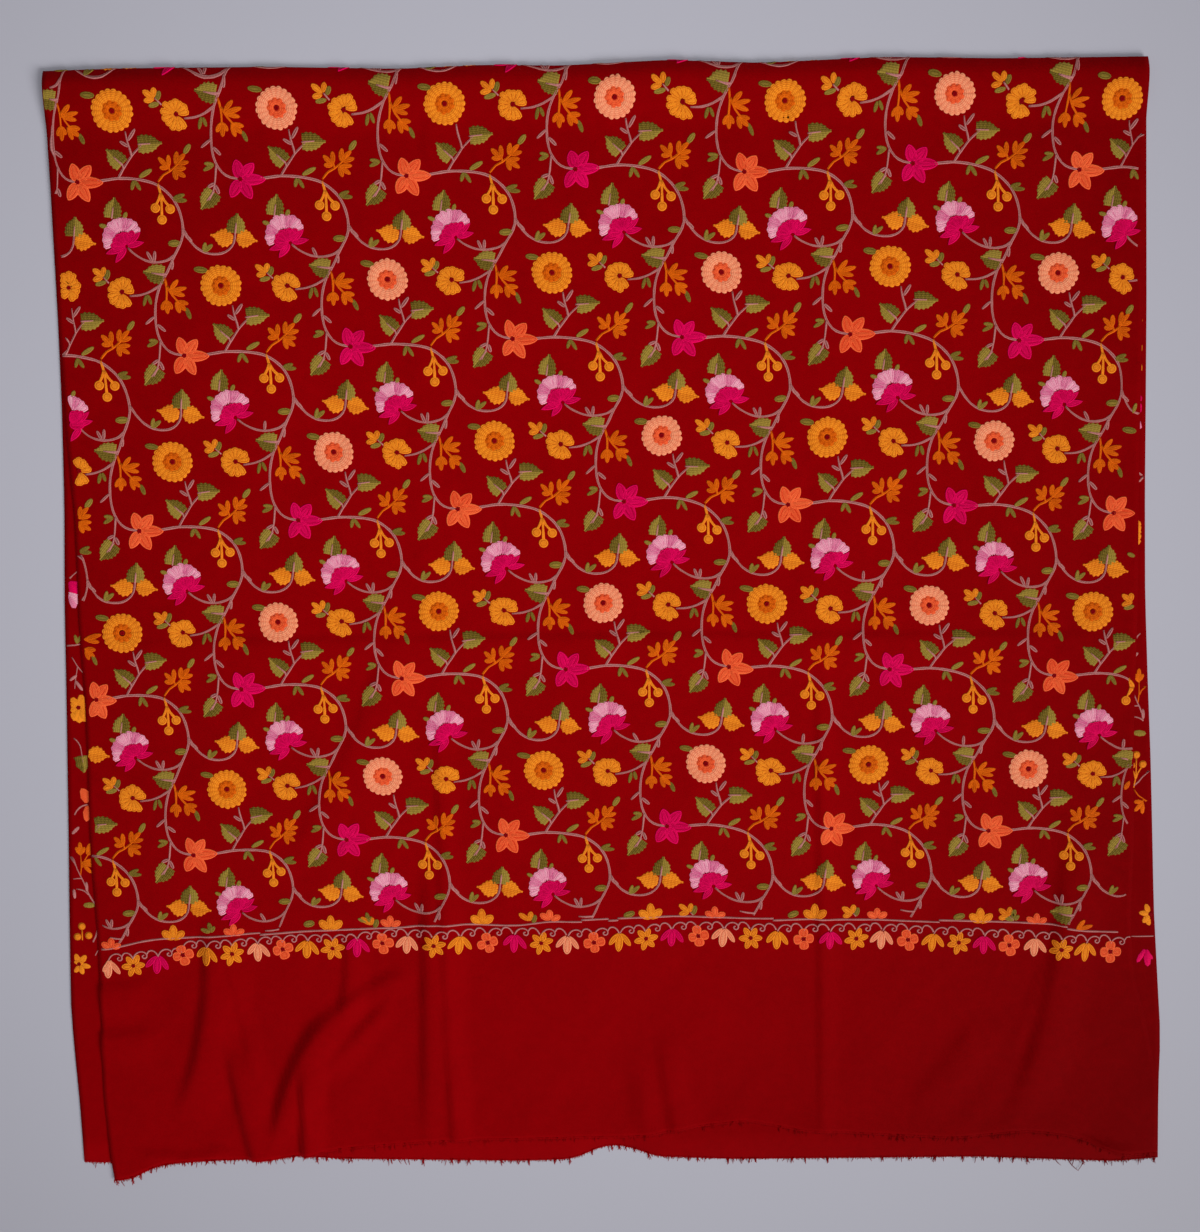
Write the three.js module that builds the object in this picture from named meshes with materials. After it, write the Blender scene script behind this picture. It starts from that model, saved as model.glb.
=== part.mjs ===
// An embroidered wool shawl, folded once across its length and laid flat on its lower layer.
// Millimetres, +Z up. +Y points to the fold, and the two frayed ends lie at -Y.
// The cloth is one length. Its stretches are separate solids: the lower layer, the soft roll of
// the fold, the upper layer with its creases, and the frayed reach of each end.
import * as THREE from "three";

// Driving sizes.
const WALL = 1.4; // the wool cloth with its chain stitches
const GAP = 0.3; // clearance between neighbouring pieces
const FRAY = 7; // reach of the loose threads past the last weft
const FOLD_HEIGHT = 10; // of the roll, over the surface it lies on
const FOLD_NOSE = 12; // from the outer edge of the fold to its crest
const FOLD_SEAM = 488; // y at which the fold's roll meets the two layers
const FOLD_RUN = 52; // the length over which the upper layer comes down from the crest
const LAID_HEIGHT = WALL + GAP + WALL; // top of the upper layer where it lies on the lower one

// Outer edge of the fold, a row for each place along it.
const FOLD_EDGE = [
  { x: -488, y: 514 },
  { x: -420, y: 515 },
  { x: -290, y: 514 },
  { x: -175, y: 510 },
  { x: -100, y: 512 },
  { x: -35, y: 510 },
  { x: 60, y: 513 },
  { x: 142, y: 509 },
  { x: 250, y: 512 },
  { x: 350, y: 509 },
  { x: 482, y: 508 },
];

// Side edges of the two layers, a row for each station from the fold to the frayed end.
const LOWER_SIDES = [
  { y: 520, left: -488, right: 482 },
  { y: 440, left: -488, right: 483 },
  { y: 300, left: -488, right: 486 },
  { y: 220, left: -489, right: 487 },
  { y: 130, left: -492, right: 488 },
  { y: 40, left: -497, right: 490 },
  { y: -40, left: -500, right: 494 },
  { y: -110, left: -503, right: 498 },
  { y: -180, left: -506, right: 501 },
  { y: -255, left: -509.5, right: 504 },
  { y: -340, left: -513, right: 510 },
  { y: -380, left: -512, right: 513 },
  { y: -430, left: -510, right: 512 },
  { y: -520, left: -509, right: 513 },
];
const UPPER_SIDES = [
  { y: 520, left: -488, right: 482 },
  { y: 320, left: -487, right: 482 },
  { y: 225, left: -487, right: 482 },
  { y: 135, left: -482, right: 482 },
  { y: 60, left: -485, right: 483 },
  { y: -60, left: -483, right: 482 },
  { y: -130, left: -484, right: 482 },
  { y: -190, left: -486, right: 484 },
  { y: -270, left: -484, right: 482 },
  { y: -320, left: -484, right: 486 },
  { y: -350, left: -485, right: 495 },
  { y: -388, left: -486, right: 503 },
  { y: -425, left: -487, right: 511 },
  { y: -490, left: -483, right: 512 },
  { y: -520, left: -479, right: 513 },
];

// Frayed ends of the two layers, a row for each bend.
const LOWER_END = [
  { x: -513, y: -496 },
  { x: -480, y: -497 },
  { x: -400, y: -492 },
  { x: -250, y: -492 },
  { x: -90, y: -497 },
  { x: -45, y: -496 },
  { x: -14, y: -485 },
  { x: 4, y: -486 },
  { x: 35, y: -499 },
  { x: 108, y: -503 },
  { x: 340, y: -505 },
  { x: 415, y: -509 },
  { x: 472, y: -512 },
  { x: 513, y: -509 },
];
const UPPER_END = [
  { x: -487, y: -515 },
  { x: -472, y: -515 },
  { x: -444, y: -501 },
  { x: -408, y: -497 },
  { x: -330, y: -496 },
  { x: -255, y: -487 },
  { x: -147, y: -481 },
  { x: 20, y: -481 },
  { x: 106, y: -467 },
  { x: 135, y: -467 },
  { x: 160, y: -477 },
  { x: 320, y: -488 },
  { x: 388, y: -482 },
  { x: 440, y: -490 },
  { x: 475, y: -508 },
  { x: 513, y: -507 },
];

// Creases of the upper layer. Each is a soft ridge along one curve that leaves `from`, bends
// towards `via` and ends at `to`. `rise` is its height and `half` its half width. A ridge that
// runs out over the frayed end has its last point past it.
const CREASES = [
  { x0: -375, y0: -235, viaX: -371, viaY: -320, x1: -364, y1: -390, rise: 6, half: 19 },
  { x0: -362, y0: -330, viaX: -375, viaY: -400, x1: -424, y1: -464, rise: 4.5, half: 18 },
  { x0: -366, y0: -330, viaX: -356, viaY: -420, x1: -328, y1: -560, rise: 6, half: 17 },
  { x0: -150, y0: -290, viaX: -318, viaY: -330, x1: -318, y1: -600, rise: 9, half: 21 },
  { x0: -256, y0: -262, viaX: -256, viaY: -300, x1: -262, y1: -350, rise: 3, half: 14 },
  { x0: -168, y0: -180, viaX: -172, viaY: -380, x1: -169, y1: -620, rise: 5, half: 14 },
  { x0: -186, y0: 30, viaX: -214, viaY: -90, x1: -318, y1: -228, rise: 3.5, half: 24 },
  { x0: 26, y0: -370, viaX: 36, viaY: -430, x1: 50, y1: -560, rise: 3, half: 14 },
  { x0: 345, y0: -360, viaX: 322, viaY: -410, x1: 270, y1: -462, rise: 3, half: 18 },
  { x0: 440, y0: -170, viaX: 440, viaY: -360, x1: 372, y1: -478, rise: 6.5, half: 22 },
  { x0: -520, y0: -330, viaX: -470, viaY: -326, x1: -430, y1: -318, rise: 3, half: 14 },
  { x0: -520, y0: -374, viaX: -470, viaY: -372, x1: -420, y1: -366, rise: 3, half: 14 },
  { x0: 360, y0: -500, viaX: 430, viaY: -488, x1: 500, y1: -512, rise: 5, half: 16 },
  { x0: -620, y0: -2, viaX: 0, viaY: 2, x1: 620, y1: -14, rise: 2, half: 15 },
];
const CREASE_FADE = 0.3; // share of a crease over which it grows and dies away
const CREASE_CHORDS = 10; // chords that stand for a crease's curve

// Grid of the upper layer: steps of its columns and rows, each up to the place given.
const COLUMN_STEPS = [
  { upTo: -440, step: 16 },
  { upTo: -135, step: 12 },
  { upTo: 10, step: 48 },
  { upTo: 65, step: 11 },
  { upTo: 265, step: 50 },
  { upTo: 500, step: 17 },
];
const ROW_STEPS = [
  { upTo: 440, step: 13 },
  { upTo: 45, step: 79 },
  { upTo: -45, step: 13 },
  { upTo: -165, step: 40 },
  { upTo: -480, step: 19 },
];
const FIRST_COLUMN = -488;
const FIRST_ROW = FOLD_SEAM - GAP;
const LAST_ROW = ROW_STEPS[ROW_STEPS.length - 1].upTo;
const NOSE_STEPS = 5; // facets of each half of the fold's roll

const wool = new THREE.MeshStandardMaterial({ color: 0x8a0308, roughness: 0.85, metalness: 0 });
const frayedWool = new THREE.MeshStandardMaterial({ color: 0x860409, roughness: 0.95, metalness: 0 });

const mix = (a, b, share) => a + (b - a) * share;

function smooth(share) {
  const t = THREE.MathUtils.clamp(share, 0, 1);
  return t * t * (3 - 2 * t);
}

// Value of one column of a table at a place along another, straight between its rows.
function lookUp(rows, along, place, column) {
  const falling = rows[0][along] > rows[rows.length - 1][along];
  const ordered = falling ? [...rows].reverse() : rows;
  let index = 1;
  while (index < ordered.length - 1 && ordered[index][along] < place) {
    index += 1;
  }
  const before = ordered[index - 1];
  const after = ordered[index];
  const share = (place - before[along]) / (after[along] - before[along]);
  return mix(before[column], after[column], THREE.MathUtils.clamp(share, 0, 1));
}

const foldEdge = (x) => lookUp(FOLD_EDGE, "x", x, "y");
const upperSide = (y, side) => lookUp(UPPER_SIDES, "y", y, side);

// Shares from 0 to 1 for a grid's lines, from its first place through its table of steps.
function gridShares(first, steps) {
  const places = [first];
  for (const { upTo, step } of steps) {
    const start = places[places.length - 1];
    const count = Math.max(1, Math.round(Math.abs(upTo - start) / step));
    for (let i = 1; i <= count; i += 1) {
      places.push(mix(start, upTo, i / count));
    }
  }
  const last = places[places.length - 1];
  return places.map((place) => (place - first) / (last - first));
}

// Height that one crease adds at a point.
function creaseHeight(crease, x, y) {
  let nearest = Infinity;
  let place = 0;
  let before = { x: crease.x0, y: crease.y0 };
  for (let i = 1; i <= CREASE_CHORDS; i += 1) {
    const t = i / CREASE_CHORDS;
    const after = {
      x: (1 - t) ** 2 * crease.x0 + 2 * t * (1 - t) * crease.viaX + t * t * crease.x1,
      y: (1 - t) ** 2 * crease.y0 + 2 * t * (1 - t) * crease.viaY + t * t * crease.y1,
    };
    const runX = after.x - before.x;
    const runY = after.y - before.y;
    const dot = (x - before.x) * runX + (y - before.y) * runY;
    const share = THREE.MathUtils.clamp(dot / (runX ** 2 + runY ** 2), 0, 1);
    const away = Math.hypot(x - before.x - share * runX, y - before.y - share * runY);
    if (away < nearest) {
      nearest = away;
      place = (i - 1 + share) / CREASE_CHORDS;
    }
    before = after;
  }
  if (nearest >= crease.half) {
    return 0;
  }
  const fade = smooth(place / CREASE_FADE) * smooth((1 - place) / CREASE_FADE);
  return crease.rise * fade * (1 - (nearest / crease.half) ** 2) ** 2;
}

// Height of the top face behind the fold's crest, `inward` from the fold's outer edge.
function foldedHeight(inward) {
  return mix(FOLD_HEIGHT, LAID_HEIGHT, smooth((inward - FOLD_NOSE) / FOLD_RUN));
}

// Height of the upper layer's top face. Creases that cross blend into one another.
function upperHeight(x, y) {
  const folded = foldedHeight(foldEdge(x) - y);
  const squares = CREASES.reduce((sum, crease) => sum + creaseHeight(crease, x, y) ** 2, 0);
  return folded + Math.sqrt(squares);
}

// A row of points across the upper layer, its share of the way from the fold's seam to the fray.
function upperRow(columnShares, along) {
  const roughY = mix(FIRST_ROW, LAST_ROW, along);
  return columnShares.map((across) => {
    const roughX = mix(upperSide(roughY, "left"), upperSide(roughY, "right"), across);
    const y = mix(FIRST_ROW, lookUp(UPPER_END, "x", roughX, "y") + FRAY + GAP, along);
    const x = mix(upperSide(y, "left"), upperSide(y, "right"), across);
    return { x, y, z: upperHeight(x, y) };
  });
}

// A closed wall of cloth over a grid of top points, WALL thick.
function clothWall(grid) {
  const rows = grid.length;
  const columns = grid[0].length;
  const positions = [];
  for (const drop of [0, WALL]) {
    for (const row of grid) {
      for (const point of row) {
        positions.push(point.x, point.y, point.z - drop);
      }
    }
  }
  const faces = [];
  const quad = (a, b, c, d) => faces.push(a, b, c, a, c, d);
  const under = rows * columns;
  const at = (row, column) => row * columns + column;
  for (let row = 0; row + 1 < rows; row += 1) {
    for (let column = 0; column + 1 < columns; column += 1) {
      const corners = [at(row, column), at(row + 1, column), at(row + 1, column + 1), at(row, column + 1)];
      quad(...corners);
      quad(...corners.map((corner) => corner + under).reverse());
    }
  }
  const rim = [];
  for (let column = 0; column + 1 < columns; column += 1) rim.push(at(0, column));
  for (let row = 0; row + 1 < rows; row += 1) rim.push(at(row, columns - 1));
  for (let column = columns - 1; column > 0; column -= 1) rim.push(at(rows - 1, column));
  for (let row = rows - 1; row > 0; row -= 1) rim.push(at(row, 0));
  rim.forEach((corner, i) => {
    const next = rim[(i + 1) % rim.length];
    quad(corner, next, next + under, corner + under);
  });
  const geometry = new THREE.BufferGeometry();
  geometry.setAttribute("position", new THREE.Float32BufferAttribute(positions, 3));
  geometry.setIndex(faces);
  geometry.computeVertexNormals();
  return geometry;
}

// The frayed reach past a layer's last row of points, level with its top face.
function frayedWall(endRow, heightAt) {
  const rows = [GAP, GAP + FRAY].map((reach) =>
    endRow.map(({ x, y }) => ({ x, y: y - reach, z: heightAt(x, y - reach) })),
  );
  return clothWall(rows);
}

// The lower layer lies flat: its outline is walked once round and given its thickness.
function lowerEndRow() {
  const { left, right } = LOWER_SIDES[LOWER_SIDES.length - 1];
  const bends = LOWER_END.map((row) => row.x).filter((x) => x > left && x < right);
  return [left, ...bends, right].map((x) => ({ x, y: lookUp(LOWER_END, "x", x, "y") + FRAY + GAP }));
}

function lowerOutline() {
  const stations = LOWER_SIDES.slice(1, -1);
  const { left, right } = LOWER_SIDES[0];
  return [
    { x: left, y: FIRST_ROW },
    ...stations.map((row) => ({ x: row.left, y: row.y })),
    ...lowerEndRow(),
    ...stations.reverse().map((row) => ({ x: row.right, y: row.y })),
    { x: right, y: FIRST_ROW },
  ].map(({ x, y }) => new THREE.Vector2(x, y));
}

const lowerCloth = new THREE.ExtrudeGeometry(new THREE.Shape(lowerOutline()), {
  depth: WALL,
  bevelEnabled: false,
});
const lowerFray = frayedWall(lowerEndRow(), () => WALL);

const columnShares = gridShares(FIRST_COLUMN, COLUMN_STEPS);
const upperRows = gridShares(FIRST_ROW, ROW_STEPS).map((along) => upperRow(columnShares, along));
const upperCloth = clothWall(upperRows);
const upperFray = frayedWall(upperRows[upperRows.length - 1], upperHeight);

// Outer line of the fold's section, as distances inward from its outer edge and heights: from
// the seam with the upper layer, round the nose, to the seam with the lower one, `reach` inward.
function foldLine(reach) {
  const middle = mix(reach, FOLD_NOSE, 0.5);
  const line = [new THREE.Vector2(reach, foldedHeight(reach)), new THREE.Vector2(middle, foldedHeight(middle))];
  for (let i = -NOSE_STEPS; i <= NOSE_STEPS; i += 1) {
    const angle = (i / NOSE_STEPS) * (Math.PI / 2);
    const inward = FOLD_NOSE * (1 - Math.cos(angle));
    line.push(new THREE.Vector2(inward, (FOLD_HEIGHT / 2) * (1 - Math.sin(angle))));
  }
  line.push(new THREE.Vector2(reach, 0));
  return line;
}

// The same line moved inwards by the wall.
function insetLine(line) {
  return line.map((point, i) => {
    const before = line[Math.max(i - 1, 0)];
    const after = line[Math.min(i + 1, line.length - 1)];
    const along = after.clone().sub(before).normalize();
    const end = i === 0 || i === line.length - 1;
    const inset = new THREE.Vector2(point.x - along.y * WALL, point.y + along.x * WALL);
    return end ? new THREE.Vector2(point.x, i === 0 ? point.y - WALL : point.y + WALL) : inset;
  });
}

// The fold: its section carried along the fold's edge, with a flat cap at each side.
function foldRoll() {
  const sections = FOLD_EDGE.map((row) => {
    const outer = foldLine(row.y - FOLD_SEAM);
    return [...outer, ...insetLine(outer).reverse()];
  });
  const positions = [];
  FOLD_EDGE.forEach((row, ring) => {
    sections[ring].forEach((point) => positions.push(row.x, row.y - point.x, point.y));
  });
  const count = sections[0].length;
  const last = (FOLD_EDGE.length - 1) * count;
  const faces = [];
  for (let ring = 0; ring + 1 < FOLD_EDGE.length; ring += 1) {
    for (let i = 0; i < count; i += 1) {
      const a = ring * count + i;
      const b = ring * count + ((i + 1) % count);
      faces.push(a, b + count, b, a, a + count, b + count);
    }
  }
  for (const [a, b, c] of THREE.ShapeUtils.triangulateShape(sections[0], [])) {
    faces.push(a, b, c, last + a, last + c, last + b);
  }
  const geometry = new THREE.BufferGeometry();
  geometry.setAttribute("position", new THREE.Float32BufferAttribute(positions, 3));
  geometry.setIndex(faces);
  geometry.computeVertexNormals();
  return geometry;
}

function piece(name, geometry, material) {
  const mesh = new THREE.Mesh(geometry, material);
  mesh.name = name;
  return mesh;
}

const shawl = new THREE.Group();
shawl.add(
  piece("lower_layer", lowerCloth, wool),
  piece("fold", foldRoll(), wool),
  piece("upper_layer", upperCloth, wool),
  piece("lower_frayed_end", lowerFray, frayedWool),
  piece("upper_frayed_end", upperFray, frayedWool),
);

// The origin goes under the middle of the folded shawl.
const extent = new THREE.Box3().setFromObject(shawl);
const middle = extent.getCenter(new THREE.Vector3());
shawl.position.set(-middle.x, -middle.y, -extent.min.z);

export default shawl;
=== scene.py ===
"""A wool shawl covered with a chain-stitched flowering vine, folded once across and laid flat.

Tables are in millimetres and meshes in metres. A place on the cloth is (x, p): x across the
shawl, and p along the cloth from the outer edge of the fold. p grows over the upper layer and
is negative on the lower one, whose right side faces the surface that the shawl lies on.
"""

import math
import random

import bpy
import numpy as np
from mathutils import Matrix, Vector


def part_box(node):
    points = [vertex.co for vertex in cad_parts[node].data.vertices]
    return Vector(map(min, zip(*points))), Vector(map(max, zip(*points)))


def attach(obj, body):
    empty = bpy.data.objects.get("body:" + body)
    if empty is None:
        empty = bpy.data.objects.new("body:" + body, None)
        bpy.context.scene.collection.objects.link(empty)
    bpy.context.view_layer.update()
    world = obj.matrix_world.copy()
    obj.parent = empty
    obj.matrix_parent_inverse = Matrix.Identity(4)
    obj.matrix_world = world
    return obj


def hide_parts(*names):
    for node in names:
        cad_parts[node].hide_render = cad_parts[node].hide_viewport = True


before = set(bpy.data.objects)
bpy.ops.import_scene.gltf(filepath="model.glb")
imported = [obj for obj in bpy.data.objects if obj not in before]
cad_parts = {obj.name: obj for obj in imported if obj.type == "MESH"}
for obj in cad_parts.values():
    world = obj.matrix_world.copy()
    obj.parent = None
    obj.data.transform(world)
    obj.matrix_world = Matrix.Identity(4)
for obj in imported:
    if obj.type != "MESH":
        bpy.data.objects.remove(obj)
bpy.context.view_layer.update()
bpy.ops.object.select_all(action="DESELECT")

MM = 0.001

# The solids' sizes.
FOLD_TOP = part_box("fold")[1].z / MM  # height of the roll of the fold
FOLD_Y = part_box("fold")[1].y / MM
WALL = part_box("lower_layer")[1].z / MM
GAP = 0.3  # between the two layers
NOSE = 15  # from the outer edge of the fold to its crest
RUN = 46  # the length over which the upper layer comes down from the crest
BULGE = 0.4  # height of the outermost edge of the fold, as a share of its crest
LAID = WALL + GAP + WALL  # top of the upper layer's solid where it lies on the lower one

# Plumper places of the roll: rise as a share of its height, length of the wave and its turn.
PLUMPNESS = [(0.05, 37, 0.0), (0.06, 83, 1.1)]
EASE = 0.8  # how gently the cloth rises from its outermost edge, where 0 would be a round roll

SKIN = 0.6  # the cloth lies this far inside the solids' faces, and its stitches fill the rest
CLOTH = 0.8  # the wool alone
SUNK = 0.3  # the foot of every stitched shape is this deep in the cloth

# Creases of the upper layer, the main ones as in the solid: start, bend and end of each, then
# its height and half width.
MAIN_CREASES = [
    ((-378, -235), (-366, -350), (-418, -460), 6.4, 18),
    ((-366, -360), (-354, -440), (-326, -570), 6.2, 15),
    ((-253, -345), (-308, -376), (-333, -512), 8, 16),
    ((-250, -265), (-244, -318), (-262, -366), 3.4, 10),
    ((-169, -190), (-172, -330), (-180, -500), 5.4, 17),
    ((-186, 30), (-214, -90), (-318, -228), 3, 24),
    ((41, -370), (51, -440), (68, -560), 3.2, 11),
    ((345, -360), (322, -410), (270, -462), 2.4, 15),
    ((426, -170), (428, -350), (368, -480), 5.5, 18),
    ((-520, -330), (-470, -326), (-430, -318), 2.4, 14),
    ((-520, -374), (-470, -372), (-420, -366), 2.4, 14),
    ((360, -500), (430, -488), (500, -512), 5, 16),
    ((-620, -2), (0, 2), (620, -14), 1.8, 15),
]
# Slight creases that the solid leaves out.
FINE_CREASES = [
    ((-360, -285), (-352, -360), (-336, -430), 1.5, 7),
    ((-279, -370), (-240, -320), (-186, -312), 3.2, 10),
    ((-280, -416), (-246, -372), (-200, -328), 3.0, 9),
    ((-293, -392), (-294, -455), (-300, -600), 7.4, 9.5),
    ((-157, 20), (-161, -250), (-151, -600), 2.5, 8.5),
    ((-156, -390), (-155, -450), (-150, -620), 2.2, 10),
    ((193, 30), (195, -250), (193, -600), 2.6, 8),
    ((178, -350), (180, -440), (176, -560), 0.8, 10),
    ((10, -380), (22, -440), (42, -560), 3.3, 9),
    ((-170, 440), (-171, 200), (-170, 20), 0.5, 10),
    ((192, 440), (192, 220), (192, 30), 0.45, 12),
    ((-463, -485), (-430, -487), (-383, -492), 2.0, 5.5),
    ((-398, -493), (-380, -478), (-362, -490), 1.6, 5),
    ((-150, 470), (-150, 450), (-153, 415), 1.3, 11),
    ((173, 476), (173, 452), (171, 420), 1.2, 11),
    ((404, -300), (396, -350), (366, -410), 1.6, 9),
    ((60, -470), (170, -476), (260, -488), 1.3, 6),
]
CREASE_FADE = 0.3  # share of a crease's length in which it rises from nothing at either end
CREASE_CHORDS = 10
CREASE_FALL = (0.72, -0.69)  # every ridge falls away gently this way
GENTLE, STEEP = 2.2, 0.75  # half width of that flank and of the other one, as shares

# Sway of the laid cloth: how far one wave runs across and along, its turn and its height.
SWAYS = [
    (210, 340, 0.4, 0.42),
    (-150, 260, 1.9, 0.34),
    (96, -180, 3.1, 0.26),
    (62, 84, 5.0, 0.17),
    (-47, 58, 2.2, 0.13),
    (39, -44, 0.9, 0.10),
]
SWAY_LIFT = 0.35  # where the sway dips further than this, the cloth rests on the lower layer
SWAY_START = 30  # the sway sets in over this length past the fold's crest


UPRIGHT = 0.2  # a face of the rim has a normal with less z than this
FACING = 0.7  # and at least this much of the rim's direction


def smooth(share):
    t = np.clip(share, 0.0, 1.0)
    return t * t * (3 - 2 * t)


def mix(a, b, share):
    return a + (b - a) * share


def rim_line(node, axis, sign):
    """The rim of a CAD node that faces one way: places along it, and where it stands."""
    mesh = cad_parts[node].data
    found = {}
    for face in mesh.polygons:
        if abs(face.normal.z) < UPRIGHT and sign * face.normal[axis] > FACING:
            for index in face.vertices:
                place = mesh.vertices[index].co / MM
                found[round(place[1 - axis], 1)] = place[axis]
    return np.array(sorted(found.items())).T


def fold_outline():
    """The outer edge of the fold: places across the shawl, and how far it reaches."""
    reach = {}
    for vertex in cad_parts["fold"].data.vertices:
        across = round(vertex.co.x / MM, 1)
        reach[across] = max(vertex.co.y / MM, reach.get(across, -math.inf))
    return np.array(sorted(reach.items())).T


def eased(line, step=3.0, reach=6):
    """A line with its corners rounded off."""
    places = np.arange(line[0][0], line[0][-1] + step, step)
    values = np.interp(places, line[0], line[1])
    weights = np.hanning(2 * reach + 3)[1:-1]
    padded = np.pad(values, reach, mode="reflect", reflect_type="odd")
    return places, np.convolve(padded, weights / weights.sum(), mode="valid")


FOLD_LINE = eased(fold_outline())
UPPER_LEFT = eased(rim_line("upper_layer", 0, -1))
UPPER_RIGHT = eased(rim_line("upper_layer", 0, 1))
LOWER_LEFT = eased(rim_line("lower_layer", 0, -1))
LOWER_RIGHT = eased(rim_line("lower_layer", 0, 1))
UPPER_END = eased(rim_line("upper_layer", 1, -1), step=4.0, reach=3)
LOWER_END = eased(rim_line("lower_layer", 1, -1), step=4.0, reach=3)


def fold_edge(x):
    return np.interp(x, *FOLD_LINE)


def side_edges(p):
    """Left and right edge of the cloth at a distance from the fold."""
    y = FOLD_Y - np.abs(p)
    left = np.where(p >= 0, np.interp(y, *UPPER_LEFT), np.interp(y, *LOWER_LEFT))
    right = np.where(p >= 0, np.interp(y, *UPPER_RIGHT), np.interp(y, *LOWER_RIGHT))
    return left, right


def crease_height(crease, x, y):
    """Height that one crease adds at each point."""
    start, bend, end = np.array(crease[:3], float)
    rise, half = crease[3:]
    nearest = np.full(x.shape, np.inf)
    place = np.zeros(x.shape)
    fall = np.zeros(x.shape)
    before = start
    for i in range(1, CREASE_CHORDS + 1):
        t = i / CREASE_CHORDS
        after = mix(mix(start, bend, t), mix(bend, end, t), t)
        run = after - before
        dot = (x - before[0]) * run[0] + (y - before[1]) * run[1]
        share = np.clip(dot / (run @ run), 0, 1)
        off_x, off_y = x - before[0] - share * run[0], y - before[1] - share * run[1]
        away = np.hypot(off_x, off_y)
        closer = away < nearest
        fall = np.where(closer, off_x * CREASE_FALL[0] + off_y * CREASE_FALL[1], fall)
        nearest = np.where(closer, away, nearest)
        place = np.where(closer, (i - 1 + share) / CREASE_CHORDS, place)
        before = after
    fade = smooth(place / CREASE_FADE) * smooth((1 - place) / CREASE_FADE)
    wide = half * mix(STEEP, GENTLE, smooth(0.5 + fall / half))
    return rise * fade * np.clip(1 - (nearest / wide) ** 2, 0, None) ** 2


def sway(x, y):
    """Gentle unevenness of cloth that was smoothed out by hand."""
    height = np.zeros(x.shape)
    for across, along, turn, rise in SWAYS:
        height += rise * np.sin(2 * math.pi * (x / across + y / along) + turn)
    return height


def fold_height(x):
    """Height of the roll of the fold, which is plumper in some places."""
    return FOLD_TOP * (1 + sum(rise * np.sin(x / wave + turn) for rise, wave, turn in PLUMPNESS))


def upper_height(x, y, inward):
    """Height of the upper layer's right side, at this distance inwards from the fold's edge."""
    top = mix(fold_height(x), LAID, smooth((inward - NOSE) / RUN))
    main = np.sqrt(sum(crease_height(crease, x, y) ** 2 for crease in MAIN_CREASES))
    fine = sum(crease_height(crease, x, y) for crease in FINE_CREASES)
    uneven = np.clip(sway(x, y) + SWAY_LIFT, 0, None) * smooth((inward - NOSE) / SWAY_START)
    return np.maximum(top + main + fine + uneven, LAID)


def right_side(x, p):
    """Points of the cloth's right side at places on it, in millimetres."""
    turn = np.clip(p / NOSE, -1, 1) * math.pi / 2
    y = fold_edge(x) - NOSE + (NOSE - SKIN) * np.cos(turn) - np.clip(np.abs(p) - NOSE, 0, None)
    climb = mix(np.sin(turn), np.sin((1 - np.cos(turn)) * math.pi / 2), EASE)
    rise = np.where(turn > 0, (1 - BULGE) * climb, BULGE * np.sin(turn))
    roll = fold_height(x) * (BULGE + rise) - SKIN * np.sin(turn)
    upper = upper_height(x, y, p) - SKIN
    return np.stack([x, y, np.where(p > NOSE, upper, roll)], axis=-1)


# The cloth's grid: steps of its columns from the left edge, and of its rows from each side of
# the fold, each up to the place given.
LEFT_COLUMN = -488
COLUMN_STEPS = [
    (-440, 4.2), (-130, 3.7), (20, 7.5), (70, 4.5), (166, 8), (206, 3.2), (300, 7), (482, 4.4),
]
LAST_ROW = 1000
UPPER_STEPS = [(70, 3), (490, 8.4), (535, 3), (690, 7.4), (LAST_ROW, 4.7)]
NOSE_STEPS = 16
LOWER_STEPS = [(LAST_ROW, 25)]
STRETCH_FROM = 700  # past this distance the rows spread so that the last one meets the end
STRETCH = LAST_ROW - STRETCH_FROM
# Loosely woven strip past the solid layers, before the frayed ends. It varies on the lower layer.
LAST_WEFTS = 4
LOWER_WEFTS = np.array([(-520, 4), (-320, 5), (-260, 10), (-40, 10), (20, 6), (520, 6)]).T


def stepped(first, steps):
    """Places from the first one on, in even steps up to each place given."""
    places = [first]
    for up_to, step in steps:
        count = max(1, round((up_to - places[-1]) / step))
        places += list(np.linspace(places[-1], up_to, count + 1)[1:])
    return np.array(places)


COLUMNS = stepped(LEFT_COLUMN, COLUMN_STEPS)
ACROSS = (COLUMNS - COLUMNS[0]) / (COLUMNS[-1] - COLUMNS[0])
UPPER_ROWS = stepped(NOSE, UPPER_STEPS)
LOWER_ROWS = -stepped(NOSE, LOWER_STEPS)[::-1]
ROWS = np.concatenate([LOWER_ROWS, np.linspace(-NOSE, NOSE, NOSE_STEPS + 1)[1:-1], UPPER_ROWS])


def cloth_length(x, upper):
    """Distance along the cloth from the fold's edge to the frayed end."""
    if upper:
        return fold_edge(x) - np.interp(x, *UPPER_END) + LAST_WEFTS
    return fold_edge(x) - np.interp(x, *LOWER_END) + np.interp(x, *LOWER_WEFTS)


def spread_rows(x, nominal):
    """The true distance from the fold of a row at x."""
    length = np.where(nominal > 0, cloth_length(x, True), cloth_length(x, False))
    share = np.clip((np.abs(nominal) - STRETCH_FROM) / STRETCH, 0, None)
    from_fold = np.minimum(np.abs(nominal), STRETCH_FROM) + share * (length - STRETCH_FROM)
    return np.sign(nominal) * from_fold


def row_at(x, p):
    """The row, as a number with a fraction, that passes through places on the cloth."""
    length = np.where(p > 0, cloth_length(x, True), cloth_length(x, False))
    share = np.clip((np.abs(p) - STRETCH_FROM) / (length - STRETCH_FROM), 0, None)
    nominal = np.sign(p) * (np.minimum(np.abs(p), STRETCH_FROM) + share * STRETCH)
    return np.interp(nominal, ROWS, np.arange(len(ROWS)))


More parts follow.
